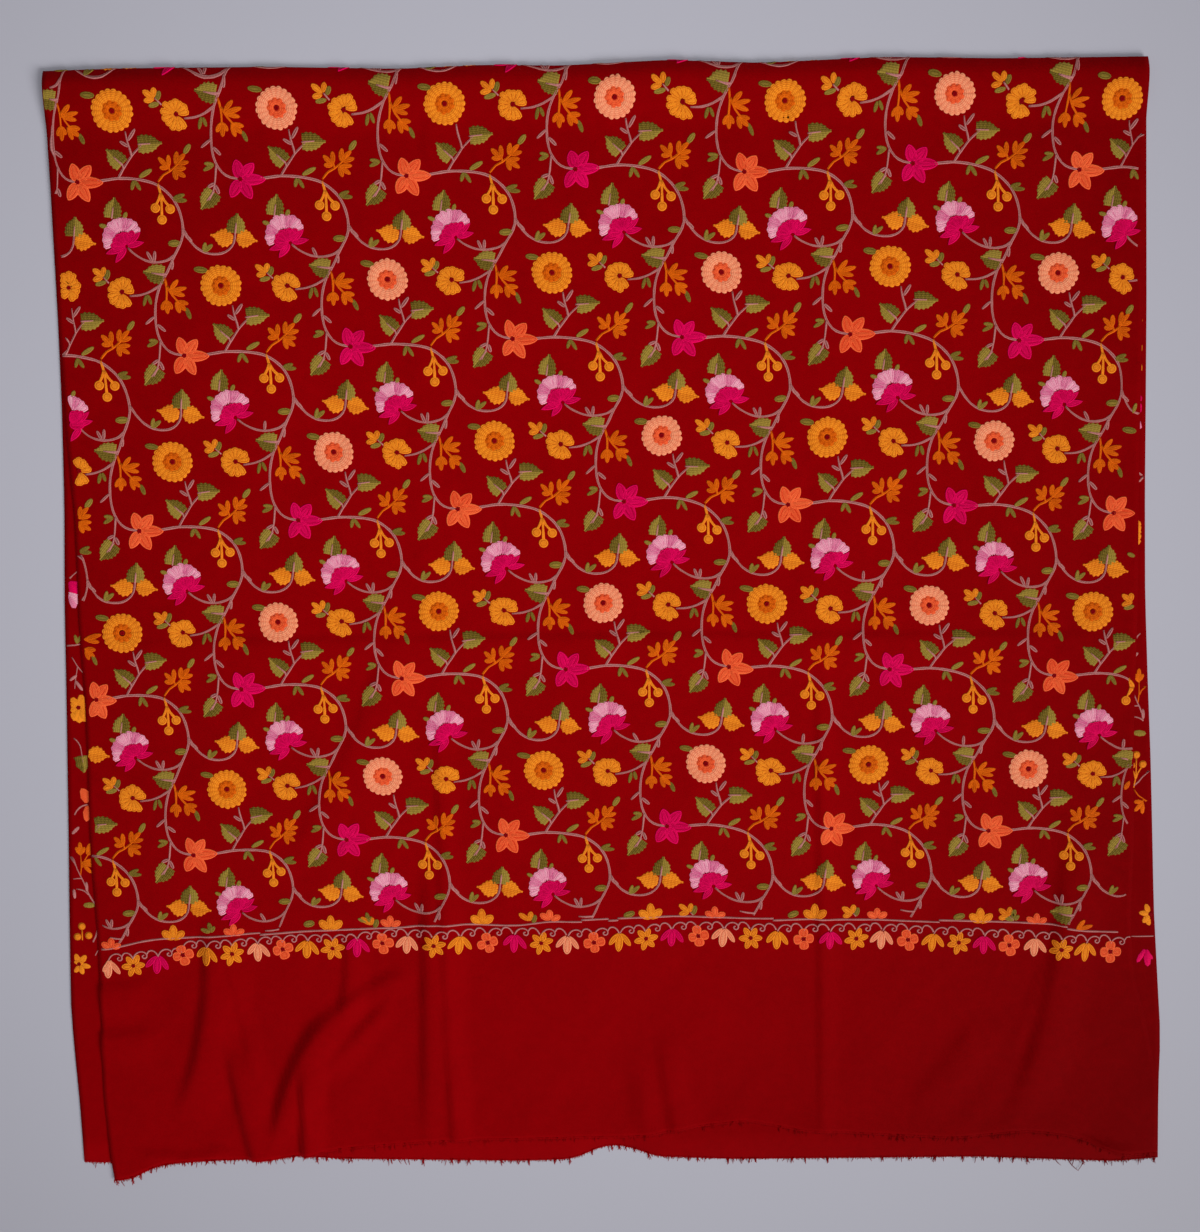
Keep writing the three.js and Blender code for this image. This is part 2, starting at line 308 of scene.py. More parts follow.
def cloth_grid():
    """Places and right-side points of the cloth's grid, and the way that each point faces."""
    nominal, share = np.meshgrid(ROWS, ACROSS, indexing="ij")
    left, right = side_edges(nominal)
    p = spread_rows(mix(left, right, share), nominal)
    left, right = side_edges(p)
    x = mix(left, right, share)
    points = right_side(x, p)
    along, across = np.gradient(points, axis=0), np.gradient(points, axis=1)
    normals = np.cross(along, across)
    normals /= np.linalg.norm(normals, axis=-1, keepdims=True)
    return x, p, points, normals


GRID_X, GRID_P, GRID, NORMALS = cloth_grid()


def on_cloth(x, p, height):
    """Points at a height over places on the cloth, in metres."""
    left, right = side_edges(p)
    column = np.interp((x - left) / (right - left), ACROSS, np.arange(len(ACROSS)))
    row = row_at(x, p)
    i = np.clip(row.astype(int), 0, len(ROWS) - 2)
    j = np.clip(column.astype(int), 0, len(ACROSS) - 2)
    u, v = (row - i)[:, None], (column - j)[:, None]

    def between(grid):
        near = mix(grid[i, j], grid[i, j + 1], v)
        far = mix(grid[i + 1, j], grid[i + 1, j + 1], v)
        return mix(near, far, u)

    return (between(GRID) + between(NORMALS) * height[:, None]) * MM


def in_scene(name, data):
    made = bpy.data.objects.new(name, data)
    bpy.context.scene.collection.objects.link(made)
    return made


def mesh_object(name, points, faces, rows, tones=None):
    """A smooth mesh with its own chart of the rows of thread, and its tone at each point."""
    mesh = bpy.data.meshes.new(name)
    mesh.from_pydata(points, [], faces)
    chart = mesh.uv_layers.new(name="rows")
    corners = np.empty(len(mesh.loops), np.int32)
    mesh.loops.foreach_get("vertex_index", corners)
    chart.uv.foreach_set("vector", rows[corners].astype(np.float32).ravel())
    if tones is not None:
        attribute = mesh.attributes.new("tone", "FLOAT", "POINT")
        attribute.data.foreach_set("value", tones.astype(np.float32))
    mesh.shade_smooth()
    return in_scene(name, mesh)


def make_cloth():
    """The one length of wool: a closed shell over the grid."""
    rows, columns = GRID_X.shape
    count = rows * columns
    points = np.concatenate([GRID.reshape(-1, 3), (GRID - NORMALS * CLOTH).reshape(-1, 3)]) * MM
    at = np.arange(count).reshape(rows, columns)
    faces = np.stack([at[:-1, :-1], at[1:, :-1], at[1:, 1:], at[:-1, 1:]], axis=-1).reshape(-1, 4)
    rim = np.concatenate([at[0, :-1], at[:-1, -1], at[-1, :0:-1], at[:0:-1, 0]])
    after = np.roll(rim, -1)
    edge = np.stack([rim, after, after + count, rim + count], axis=-1)
    every = np.concatenate([faces, faces[:, ::-1] + count, edge])
    chart = np.stack([GRID_X.ravel(), GRID_P.ravel()], axis=-1)
    return mesh_object("shawl_cloth", points, every.tolist(), np.concatenate([chart, chart]))


# ---- Where the pattern lies ----

PITCH = 149.3  # across, from one repeat to the next
DROP = 150.5  # along, from one row to the next
LEAN = 92.7  # each row starts this far to the right of the one nearer the fold
FIRST_STAR = (-465, 92.5)
# Stars of the upper layer, row by row from the fold: across, and distance from the fold. They
# are coral and magenta by turns, from a coral one.
STAR_ROWS = [
    [(-458.5, 95.5), (-315, 95.5), (-167.5, 91.5), (-18, 88.5), (131.5, 93.5), (280.5, 90), (427.5, 96)],
    [(-372, 249.5), (-222.5, 241), (-77.5, 236.5), (74.5, 239.5), (225, 238), (376.5, 244.5)],
    [(-420, 406.5), (-275.5, 398), (-131, 387.5), (20, 384), (168.5, 388), (319, 392), (463.5, 400.5)],
    [(-475.5, 560.5), (-334.5, 553), (-186.5, 541), (-36, 535.5), (113.5, 536.5), (260.5, 543), (412, 549)],
    [(-385.5, 709), (-243, 693.5), (-95, 692), (54.5, 687), (207, 690), (352.5, 693.5)],
]
ODD_STAR = (4, 5)  # row and place of the one star that is coral out of turn
STRAY_REACH = 55  # how far around a star the pattern strays with it
CALM = 0.02  # far from every star, this weight holds the pattern to the even grid
# Where it strays again beside the fold: place on the cloth, then how far across and along.
FOLD_STRAYS = np.array([
    (-437, 2, -9, 1), (-352, 18, -1, -2), (-366, -6, -3, -9), (-282, 2, 0, -6), (-205, 18, 3.4, -6),
    (-215, -4, 3, -4), (-133, 2, -1, 2), (-56, 18, 3, -2), (94, 18, 2, -4.5), (84, -4, 3, -5),
    (243, 18, 1.5, -4.5), (230, -4, 6, -4), (315, 2, 0, -4), (394, 18, 6, -8), (384, -4, 3, -10),
    (464, 0, 0, -15),
])
FOLD_STRAY_REACH = (30, 13)


def even_place(row, i):
    """Where star i of a row would stand on an even grid. Row -1 is the first past the fold."""
    return FIRST_STAR[0] + PITCH * i + LEAN * row, FIRST_STAR[1] + DROP * row


def first_in_row(row):
    return round((STAR_ROWS[row][0][0] - even_place(row, 0)[0]) / PITCH)


EVEN_STARS = np.array([
    even_place(row, first_in_row(row) + i)
    for row, stars in enumerate(STAR_ROWS)
    for i in range(len(stars))
])
STRAYED = np.array([star for stars in STAR_ROWS for star in stars]) - EVEN_STARS


def drift(x, p):
    """How far the hand-drawn pattern strays from the even grid at places on the cloth."""
    away = (x[:, None] - EVEN_STARS[:, 0]) ** 2 + (p[:, None] - EVEN_STARS[:, 1]) ** 2
    pull = np.exp(-away / (2 * STRAY_REACH**2))
    strayed = pull @ STRAYED / (pull.sum(axis=1)[:, None] + CALM)
    away_across = (x[:, None] - FOLD_STRAYS[:, 0]) / FOLD_STRAY_REACH[0]
    away_along = (p[:, None] - FOLD_STRAYS[:, 1]) / FOLD_STRAY_REACH[1]
    strayed += np.exp(-(away_across**2 + away_along**2) / 2) @ FOLD_STRAYS[:, 2:]
    return strayed[:, 0], strayed[:, 1]


# Beside the side edges the pattern is drawn in, so that it stays whole: how far inside the edge
# a place would be, and how far inside it is stitched.
DRAWN_IN = np.array([(-400, -400), (-2, -2), (0, 5), (20, 20), (2000, 2000)]).T


def drawn_in(x, p):
    """Where places across come when the pattern is drawn in beside the sides."""
    left, right = side_edges(p)
    from_left, from_right = np.interp(x - left, *DRAWN_IN), np.interp(right - x, *DRAWN_IN)
    return np.where(x - left < right - x, left + from_left, right - from_right)


# The line over the border: distance from the fold at places across.
BORDER_LINE = np.array([
    (-520, 799), (-476, 799), (-436, 791), (-389, 789), (-332, 786), (-276, 782), (-201, 778),
    (-171, 774.5), (-137, 776), (-94, 779.5), (-62, 775), (-42, 775), (5, 775), (80, 776),
    (174, 776), (267, 781), (361, 783), (417, 786), (445, 791), (520, 795),
]).T


def border_line(x, p):
    """Distance from the fold of the border's line, on either half of the shawl."""
    return np.interp(np.where(p > 0, x, -x), *BORDER_LINE)


# ---- Stitched shapes ----

# Rings of a stitched petal, from its outline inwards: share of the way to its spine, height
# and tone. The thread lies in rows, so the height rises and dips, and the tone is lower at the
# foot and in the dips: painted shade in the grooves.
FINE_RINGS = [(0, -SUNK, 0.2), (0.13, 0.5, 1), (0.34, 0.62, 0.85), (0.52, 0.36, 0.1), (0.78, 0.66, 0.75)]
SMALL_RINGS = [(0, -SUNK, 0.1), (0.2, 0.5, 1), (0.45, 0.36, 0.25), (0.78, 0.62, 0.85)]
LOOP_RINGS = [(0, -SUNK, 0.3), (0.3, 0.5, 1), (0.85, 0.12, 0)]
FAN_RINGS = [(0, -SUNK, 0.1), (0.1, 0.76, 1), (0.34, 0.84, 0.8), (0.52, 0.68, 0.2), (0.78, 0.84, 0.75)]
COARSE_RINGS = [(0, -SUNK, 0.5), (0.3, 0.45, 0.8)]
PETAL_STEPS, SMALL_STEPS, COARSE_STEPS = 8, 5, 4  # along each side of a petal
# How pointed the foot and the tip of each kind of petal are. Low numbers make them round.
STAR_SHAPE, FAN_SHAPE, DAISY_SHAPE, BUD_SHAPE = (0.5, 0.7), (0.8, 0.3), (0.62, 0.3), (0.8, 0.6)
CARNATION_SHAPE, SPIKE_SHAPE, TULIP_SHAPE = (0.6, 0.55), (0.6, 0.9), (0.75, 0.6)
LEAF_SHAPE, LOOP_SHAPE = (0.5, 0.5), (0.4, 0.4)
SPINE_INSET = 0.35  # the spine starts and ends this share of the width inside the outline
SPINE_SPAN = (0.45, 0.55)  # and goes at least from the one to the other

# Sections of a stitched stem: place across it as a share of its width, height and tone. The
# lower tone at its feet and in the groove between two rows is painted shade.
DOUBLE_STEM = [(-0.52, -SUNK, 0.3), (-0.28, 0.55, 1), (0, 0.12, 0), (0.28, 0.55, 1), (0.52, -SUNK, 0.3)]
SINGLE_STEM = [(-0.52, -SUNK, 0.3), (-0.22, 0.56, 1), (0, 0.42, 0.4), (0.22, 0.56, 1), (0.52, -SUNK, 0.3)]
COARSE_STEM = [(-0.5, -SUNK, 0.3), (0, 0.45, 0.8), (0.5, -SUNK, 0.3)]
STEM_STEP, COARSE_STEM_STEP = 4.2, 9
# Width of each kind of stem, and the share of it that is left at its end.
VINE_STEM, MIDRIB_STEM, SPRIG_STEM, BERRY_STEM = (2.8, 0.8), (1.9, 0.75), (2.5, 0.9), (2.7, 1.2)
ARCH_STEM, RISE_STEM, LINE_STEM = (1.8, 0.9), (1.8, 1.0), (2.2, 0.85)
BRANCH_TAPER = 0.7
STEM_WAVES = [(0.09, 3.1), (0.07, 1.3)]  # unevenness of its width: share, and length of the wave
STITCH_DIP = 0.12  # loss of height between two stitches
STITCH_BEAT = 2.2  # how closely these dips follow each other

# Outline of a toothed leaf: how far along it, and its half width there.
LEAF_HALF_WIDTH = np.array([
    (0, 0.5), (0.06, 0.82), (0.14, 0.98), (0.28, 1), (0.45, 0.92), (0.6, 0.7), (0.72, 0.42),
    (0.82, 0.2), (1, 0.1),
]).T
# A gold leaf is narrow at its foot too.
GOLD_HALF_WIDTH = np.array([
    (0, 0.15), (0.08, 0.46), (0.2, 0.82), (0.34, 1), (0.46, 0.9), (0.6, 0.6), (0.72, 0.32),
    (0.82, 0.14), (1, 0.08),
]).T
# Sections of a leaf: place across it, and height.
LEAF_SECTION = [
    (-1, -SUNK), (-0.86, 0.48), (-0.45, 0.58), (-0.06, 0.22), (0.06, 0.22), (0.45, 0.58), (0.86, 0.48),
    (1, -SUNK),
]
COARSE_LEAF_SECTION = [(-1, -SUNK), (-0.6, 0.46), (-0.05, 0.4), (0.05, 0.4), (0.6, 0.46), (1, -SUNK)]
LEAF_LEAN = 0.9  # how far its ribs slant forwards near the tip
LEAF_LOBES = 0.25  # and backwards at its foot
TEETH, COARSE_TEETH = 7, 3
NOTCH = 0.86  # width between two teeth, as a share of that at a tooth
NOTCH_DIP = 0.22
TOOTH_TONE, NOTCH_TONE = 0.16, -0.2  # added to the tone of that half of the leaf
BASE_TONE, TIP_TONE = 0.4, 0.5
LEAF_ROWS = 1.3  # how densely the stitches lie along it

LOBE_POINTS, COARSE_LOBE_POINTS = 4, 2  # round each lobe of a flower head
LOBE_FULLNESS = 0.6  # a lower number makes the lobes fuller
DISC_ROWS = 11  # length of the rows of thread for each radian of a flower head

# How far the hand misses, in millimetres, and as a share of a petal's width.
FOOT_MISS, TIP_MISS, LEAF_MISS, LOBE_MISS = 0.35, 0.6, 0.8, 0.5
WIDTH_MISS = 0.06
HEIGHT_MISS = 0.12  # of the coarse stitches, which cross each other

RIM = 0.8  # no stitch comes nearer to a side edge
SIDE_MARGIN = 3  # and no petal, where it can be moved inwards
LINE_MARGIN = 2  # stems of the field end this far before the border's line
OVERLAP = 4  # and its petals may run this far over it
SHOWN = 3  # the wrong side's stitches go on this far under the upper layer
FLATTENED = 0.45  # height of the wrong side's stitches, as a share of the right side's


class Thread:
    """All that is stitched in one piece. Each point has its place, its height, its place along
    and across the rows of thread, and its tone."""

    def __init__(self):
        self.shapes = []
        self.faces = []
        self.count = 0

    def add(self, shape, faces):
        self.shapes.append(shape)
        self.faces += [[corner + self.count for corner in face] for face in faces]
        self.count += len(shape)


threads = {}


def curve_through(route, step):
    """A smooth line through the route's points, in steps of about the given length."""
    points = np.array(route, float)
    ends = np.concatenate([[2 * points[0] - points[1]], points, [2 * points[-1] - points[-2]]])
    line = [points[0]]
    for a, b, c, d in zip(ends, ends[1:], ends[2:], ends[3:]):
        count = max(2, round(np.linalg.norm(c - b) / step))
        for t in np.arange(1, count + 1) / count:
            bend = 2 * b + (c - a) * t + (2 * a - 5 * b + 4 * c - d) * t**2
            line.append((bend + (3 * b - a - 3 * c + d) * t**3) / 2)
    return np.array(line)


def ring_faces(rings, count):
    """Faces of a closed shape from its rings of points, the outermost or first ring first."""
    faces = [
        [first + i, first + (i + 1) % count, first + count + (i + 1) % count, first + count + i]
        for first in range(0, (rings - 1) * count, count)
        for i in range(count)
    ]
    last = (rings - 1) * count
    return faces + [list(range(last, last + count)), list(range(count - 1, -1, -1))]


def directions(base, tip):
    """How far it is from one point to another, and the ways along that line and across it."""
    axis = tip - base
    length = np.linalg.norm(axis)
    along = axis / length
    return length, along, np.array([-along[1], along[0]])


def polar(centre, angle, reach):
    turn = math.radians(angle)
    return centre[0] + reach * math.cos(turn), centre[1] + reach * math.sin(turn)


class Needle:
    """Stitches shapes around one place on the cloth, in millimetres from it, y to the fold."""

    def __init__(self, x, p, seed=0, turned=False, wrong_side=False, coarse=False, in_field=False):
        self.x = x
        self.p = p
        self.way = -1 if turned else 1
        self.wrong_side = wrong_side
        self.coarse = coarse or wrong_side
        self.in_field = in_field
        self.chance = random.Random(seed)

    def miss(self, reach):
        return np.array([self.chance.uniform(-reach, reach), self.chance.uniform(-reach, reach)])

    def places(self, points, as_one=False, beside_sides=True):
        """Where points of the chart come on the cloth. Points that stray as one keep their shape."""
        x, p = self.x + self.way * points[:, 0], self.p - self.way * points[:, 1]
        if not self.in_field:
            return x, p
        at = (x.mean(keepdims=True), p.mean(keepdims=True)) if as_one else (x, p)
        across, along = drift(*at)
        if beside_sides:
            there = at[0] + across
            across = across + drawn_in(there, at[1] + along) - there
        return x + across, p + along

    def has_room(self, centre, reach):
        """Whether a flower of the field ends before the border."""
        x, p = self.places(np.array([centre]))
        return abs(p[0]) + reach < border_line(x, p)[0]

    def beside_edge(self, centre):
        """How far a place lies inside the nearer side edge, and the way from there inwards."""
        x, p = self.places(np.array([centre]), beside_sides=False)
        left, right = side_edges(p)
        inside_left, inside_right = float(x[0] - left[0]), float(right[0] - x[0])
        if inside_left < inside_right:
            return inside_left, self.way
        return inside_right, -self.way

    def moved_in(self, centre, room):
        """The centre, or a place with this much room to the side edge where it has less."""
        inside, inwards = self.beside_edge(centre)
        return centre[0] + inwards * max(0, room - inside), centre[1]

    def allowed(self, x, p):
        """Whether places lie on the cloth, before the border, and where the wrong side shows."""
        left, right = side_edges(p)
        inside = (x > left + RIM) & (x < right - RIM)
        if self.in_field:
            inside &= np.abs(p) < border_line(x, p) - LINE_MARGIN
        if self.wrong_side:
            shown_left, shown_right = side_edges(np.abs(p))
            inside &= (x < shown_left + SHOWN) | (x > shown_right - SHOWN)
        return inside

    def put(self, piece, shape, faces, whole=False):
        """Stitches a shape if its middle lies where it may. A whole one is moved off the edge."""
        x, p = self.places(shape[:, :2], as_one=True)
        middle = np.array([x.mean()]), np.array([p.mean()])
        if not self.allowed(*middle)[0]:
            return
        if self.in_field and np.abs(p).max() > border_line(*middle)[0] + OVERLAP:
            return
        if whole:
            left, right = side_edges(p)
            x += max(0, (left - x).max() + SIDE_MARGIN) - max(0, (x - right).max() + SIDE_MARGIN)
        self.lay(piece, x, p, shape, faces)

    def lay(self, piece, x, p, shape, faces):
        left, right = side_edges(p)
        heights = shape[:, 2]
        if self.wrong_side:
            heights = -CLOTH - heights * FLATTENED
            faces = [face[::-1] for face in faces]
        x = np.clip(x, left + RIM, right - RIM)
        laid = np.column_stack([x, p, heights, shape[:, 3:5], np.clip(shape[:, 5], 0, 1)])
        threads.setdefault(piece, Thread()).add(laid, faces)

    def petal(self, piece, base, tip, width, shape, tone=0.0, small=False, rings=None):
        """A petal or plain leaf, whose rows of thread follow its outline inwards to its spine."""
        base = np.array(base, float) + self.miss(FOOT_MISS)
        tip = np.array(tip, float) + self.miss(TIP_MISS)
        width *= self.chance.uniform(1 - WIDTH_MISS, 1 + WIDTH_MISS)
        lift = self.chance.uniform(-HEIGHT_MISS, HEIGHT_MISS) if self.coarse else 0
        steps = COARSE_STEPS if self.coarse else SMALL_STEPS if small else PETAL_STEPS
        t = (1 - np.cos(np.linspace(0, math.pi, steps + 1))) / 2
        foot, point = shape
        widest = foot / (foot + point)
        bulge = t**foot * (1 - t) ** point / (widest**foot * (1 - widest) ** point)
        length, _, across = directions(base, tip)
        middle, side = base + np.outer(t, tip - base), np.outer(width / 2 * bulge, across)
        outline = np.concatenate([middle - side, (middle + side)[-2:0:-1]])
        inset = width / length * SPINE_INSET
        reach = np.clip(t, min(SPINE_SPAN[0], inset), max(SPINE_SPAN[1], 1 - inset))
        spine = base + np.outer(reach, tip - base)
        spine = np.concatenate([spine, spine[-2:0:-1]])
        edges = np.linalg.norm(np.roll(outline, -1, axis=0) - outline, axis=1)
        walked = np.concatenate([[0], np.cumsum(edges)[:-1]])
        depth = np.linalg.norm(outline - spine, axis=1)
        if self.coarse:
            rings = COARSE_RINGS
        elif rings is None:
            rings = SMALL_RINGS if small else FINE_RINGS
        points = np.concatenate([
            np.column_stack([
                mix(outline, spine, share), np.full(len(outline), height + lift),
                walked, depth * share, np.full(len(outline), ring_tone + tone),
            ])
            for share, height, ring_tone in rings
        ])
        self.put(piece, points, ring_faces(len(rings), len(outline)), whole=True)

    def ray(self, piece, centre, angle, start, reach, width, shape, **look):
        """A petal that points away from a centre."""
        foot, tip = polar(centre, angle, start), polar(centre, angle, reach)
        self.petal(piece, foot, tip, width, shape, **look)

    def leaf(self, piece, base, tip, width, tones, profile=LEAF_HALF_WIDTH):
        """A heart-shaped, toothed leaf with a narrow tip, in two tones with slanting ribs."""
        base = np.array(base, float)
        tip = np.array(tip, float) + self.miss(LEAF_MISS)
        length, along, across = directions(base, tip)
        teeth = COARSE_TEETH if self.coarse else TEETH
        section = COARSE_LEAF_SECTION if self.coarse else LEAF_SECTION
        wide = len(section)
        shape = [(*base, -SUNK, 0, 0, BASE_TONE)]
        for k, place in enumerate(np.linspace(0, 1, 2 * teeth + 1)[1:-1]):
            notch = k % 2 == 1
            half = width / 2 * np.interp(place, *profile) * (NOTCH if notch else 1)
            for share, height in section:
                forward = half * abs(share) * (LEAF_LEAN * place - LEAF_LOBES)
                at = base + along * (length * place + forward) + across * half * share
                dip = NOTCH_DIP if notch and height > 0 else 0
                tone = tones[share > 0] + (NOTCH_TONE if notch else TOOTH_TONE)
                shape.append((*at, height - dip, length * place * LEAF_ROWS, half * share, tone))
        shape.append((*tip, -SUNK, length, 0, TIP_TONE))
        last = len(shape) - 1
        end = last - wide
        faces = [[0, wide, 1], [end, last - 1, last]]
        for i in range(1, wide):
            faces.append([0, i, i + 1])
            faces.append([end + i, end + i - 1, last])
        for first in range(1, end, wide):
            faces.append([first, first + wide - 1, first + 2 * wide - 1, first + wide])
            for i in range(first, first + wide - 1):
                faces.append([i, i + wide, i + wide + 1, i + 1])
        self.put(piece, np.array(shape), faces)

    def disc(self, piece, centre, lobes, rings, start=0.0, coarse_rings=()):
        """A round flower head. Each ring has its radius, the depth between its lobes, its
        height on a lobe and between lobes, and its tone on a lobe and between lobes. The tone is
        darker where the head lies lower, as painted shade."""
        samples = COARSE_LOBE_POINTS if self.coarse else LOBE_POINTS
        if self.coarse and coarse_rings:
            rings = [rings[i] for i in coarse_rings]
        count = lobes * samples
        angles = math.radians(start) + 2 * math.pi * np.arange(count) / count
        lobed = np.abs(np.sin(math.pi * (np.arange(count) / samples))) ** LOBE_FULLNESS
        rays = np.stack([np.cos(angles), np.sin(angles)], axis=-1)
        uneven = np.repeat([self.chance.uniform(-LOBE_MISS, LOBE_MISS) for _ in range(lobes)], samples)
        uneven = (uneven + np.roll(uneven, samples // 2)) / 2
        shape = []
        for radius, depth, crest, groove, light, dark in rings:
            reach = radius - depth * (1 - lobed) + uneven * min(depth, 1)
            shape.append(np.column_stack([
                centre + rays * reach[:, None], mix(groove, crest, lobed),
                angles * DISC_ROWS, np.full(count, rings[0][0] - radius), mix(dark, light, lobed),
            ]))
        self.put(piece, np.concatenate(shape), ring_faces(len(rings), count))

    def stem(self, piece, route, width, taper, double=False):
        """A stem in one or two rows of chain stitch, which ends where no stitch is allowed."""
        line = curve_through(route, COARSE_STEM_STEP if self.coarse else STEM_STEP)
        inside = np.concatenate([[False], self.allowed(*self.places(line)), [False]])
        ends = np.flatnonzero(inside[1:] != inside[:-1])
        for first, last in zip(ends[::2], ends[1::2]):
            if last - first > 2:
                self.run_of_stem(piece, line[first:last], width, taper, double)

    def run_of_stem(self, piece, line, width, taper, double):
        way = np.gradient(line, axis=0)
        way /= np.linalg.norm(way, axis=1, keepdims=True)
        across = np.stack([-way[:, 1], way[:, 0]], axis=-1)
        walked = np.concatenate([[0], np.cumsum(np.linalg.norm(np.diff(line, axis=0), axis=1))])
        wide = width * mix(1.0, taper, (walked / walked[-1]) ** 2)
        waves = zip(STEM_WAVES, (self.x, self.p))
        wide *= 1 + sum(share * np.sin(walked / wave + turn) for (share, wave), turn in waves)
        dips = 1 - STITCH_DIP * (np.sin(walked * STITCH_BEAT) > 0)
        section = COARSE_STEM if self.coarse else DOUBLE_STEM if double else SINGLE_STEM
        shape = np.stack([
            np.column_stack([
                line + across * (wide * place)[:, None],
                np.where(height < 0, height, height * dips),
                walked,
                np.full(len(line), (place + 0.5) * width),
                np.full(len(line), tone),
            ])
            for place, height, tone in section
        ], axis=1).reshape(-1, 6)
        faces = [face[::-1] for face in ring_faces(len(line), len(section))]
        self.lay(piece, *self.places(shape[:, :2]), shape, faces)


# ---- The vine and its flowers, in one repeat ----

# Places from the star's middle, x to the right and y towards the fold.
VINE = [
    (14, -1), (22, 0), (32, 1), (44, 0.5), (57, -1.5), (69, -5.5), (80.5, -14.5), (87.5, -25),
    (91, -38), (91, -48.5), (87.5, -57.5), (82.5, -66), (76, -79), (69.5, -90), (65.5, -102),
    (64, -114.5), (64.5, -127), (67, -137), (72.5, -145.5), (80, -150), (90, -151.5),
]
# Width and route of the branches.
BRANCHES = [
    (2.5, [(32.5, 1.4), (37, 8.5), (41.5, 14.5), (45.5, 20), (50, 24.5), (55, 29)]),
    (2.1, [(37.5, 9.5), (36.5, 13), (33, 16)]),
    (2.4, [(45.5, 20), (44.5, 25), (43, 30), (41.8, 35), (41, 41)]),
    (2.6, [(91.5, -43), (96, -51), (103, -59), (111, -63.5), (118.5, -65), (126, -64.5),
           (132.5, -61.5), (137, -56), (138.5, -48), (140, -40)]),
    (2.6, [(82.5, -65), (78, -68.5), (71.5, -70.5), (63.5, -71), (56, -69.5), (49.5, -66.5),
           (44, -63), (39.5, -59)]),
    (2.5, [(69, -90.5), (60.5, -95.5), (51.5, -98.5), (41, -99.5)]),
    (2.3, [(75.5, -81), (69, -81), (61.5, -80)]),
    (2.2, [(67.5, -138.5), (66.5, -148), (65.5, -155), (64, -161), (60, -169.5)]),
    (1.9, [(21.5, -88.5), (19, -86), (16, -83)]),
]
BRANCH_SHARE = 0.94  # of those widths, as the thread is pulled tight
DOUBLE_FROM = 2.4  # branches given as wider than this have two rows of stitches
# Short loops of the vine's thread: base, tip, width.
TWIGS = [
    ((43, 28), (35.5, 33), 3.2),
    ((43, 33), (50, 43), 3.3),
    ((62, -71), (57.5, -62), 3.1),
    ((63.5, -71), (64.5, -61.5), 3.1),
    ((63.5, -117), (54.5, -124.5), 2.7),
    ((65, -123.5), (72.5, -130.5), 3.3),
    ((65.5, -155), (58.5, -158.5), 3.2),
    ((65.8, -156), (68.8, -164), 3.4),
    ((92, -47), (99.5, -54), 3.3),
    ((80.5, -68), (80, -78), 3.3),
]
TWIG_SHARE = 0.9  # of the loops are stitched
LOOP_SPREAD = 1.1  # how much wider a loop spreads than its given width
# Toothed leaves: base, tip, width, and 1 where the dark half lies to the left of the midrib.
TOOTHED_LEAVES = [
    ((52.5, 30), (74, 31), 18.5, 1),
    ((36.5, 12.5), (22, 26.5), 17.5, 0),
    ((138.5, -48), (141, -30), 19, 1),
    ((24.8, -33.2), (28, -14.5), 18, 0),
    ((72.5, -82), (53.5, -78.5), 20, 1),
    ((64.5, -162), (51.5, -177), 19, 1),
]
# Plain green leaves: base, tip, width, tone.
PLAIN_LEAVES = [
    ((20, 71.5), (7, 73.5), 6.5, -0.25),
    ((51.5, 1), (63.5, 8), 5, 0.3),
    ((46.5, -0.5), (44, -9.5), 4, -0.1),
    ((47, -0.8), (52.5, -10.5), 4, -0.2),
    ((83, -17.5), (93.5, -14), 4.4, -0.3),
    ((84, -18.5), (96, -19), 4.6, -0.35),
    ((109.5, -63.5), (118.5, -56), 4.6, 0.0),
    ((109.5, -63.5), (112, -54), 4.2, 0.2),
    ((89, -55), (76.5, -55.5), 6.8, 0.0),
    ((36, -34.5), (38.5, -28), 4.4, 0.1),
    ((20.5, -41), (13.5, -38), 4.2, 0.1),
    ((18.5, -86), (21.5, -77), 5.6, -0.1),
    ((19.5, -87), (9, -89.5), 5.2, 0.15),
    ((56.5, -98), (53.9, -108.5), 3.8, -0.35),
    ((58, -98), (61, -107), 3.8, -0.35),
    ((65.5, -138.5), (55.5, -143.5), 4.3, -0.2),
    ((65.5, -138.5), (56.5, -137.5), 4, 0.0),
    ((95, 21), (101.5, 30), 5.6, 0.25),
    ((92, -109.5), (96, -120), 4.6, -0.3),
]
LEAF_SHADE = -0.15  # all the plain leaves are this much darker than their given tones
LEAF_TONES = (0.1, 0.92)
MIDRIB = (-0.03, 0.25, 0.52)  # places along a toothed leaf that its stem runs through
SHORTENED = 0.6  # size of a leaf that would run into the border
# Room that a leaf needs before the border: beyond its tip when whole and when shortened, and
# beyond its base.
LEAF_SPACE, TIP_SPACE, BASE_SPACE = 6, 1, 8
# Gold leaves: base, tip, width.
GOLD_LEAVES = [
    ((136.5, -53), (116, -48.5), 19),
    ((139.5, -51), (159.5, -55.5), 18.5),
]
GOLD_LEAF_TONES = (0.6, 0.8)
GOLD_LEAF_ROOM = 7  # none is stitched whose middle is this near to a side edge
# Petals of the star: angle, reach and width.
STAR = [(-1, 22.5, 11.5), (50, 19, 11.8), (104, 17.5, 11.5), (-60, 19.8, 11.8), (-119, 18, 11.8)]
STAR_AT = (-4.2, -1.2)
STAR_START = 0.6  # how far from the middle its petals start
STAR_TURN = 4  # degrees that the hand may turn it
PETAL_TONES = (-0.2, 0.15)
STAR_ROOM = 8  # a star this near to a side edge, on either side of it, is stitched this far inside
ROSETTE_AT = (31.5, 58.5)
ROSETTE_ROOM = 13  # nearer to a side edge than this, a half daisy stands in for the rosette
DAISY_ROOM = 8
CARNATION_AT = (34, -50.5)
CARNATION_FOOT = (38, -57.5)
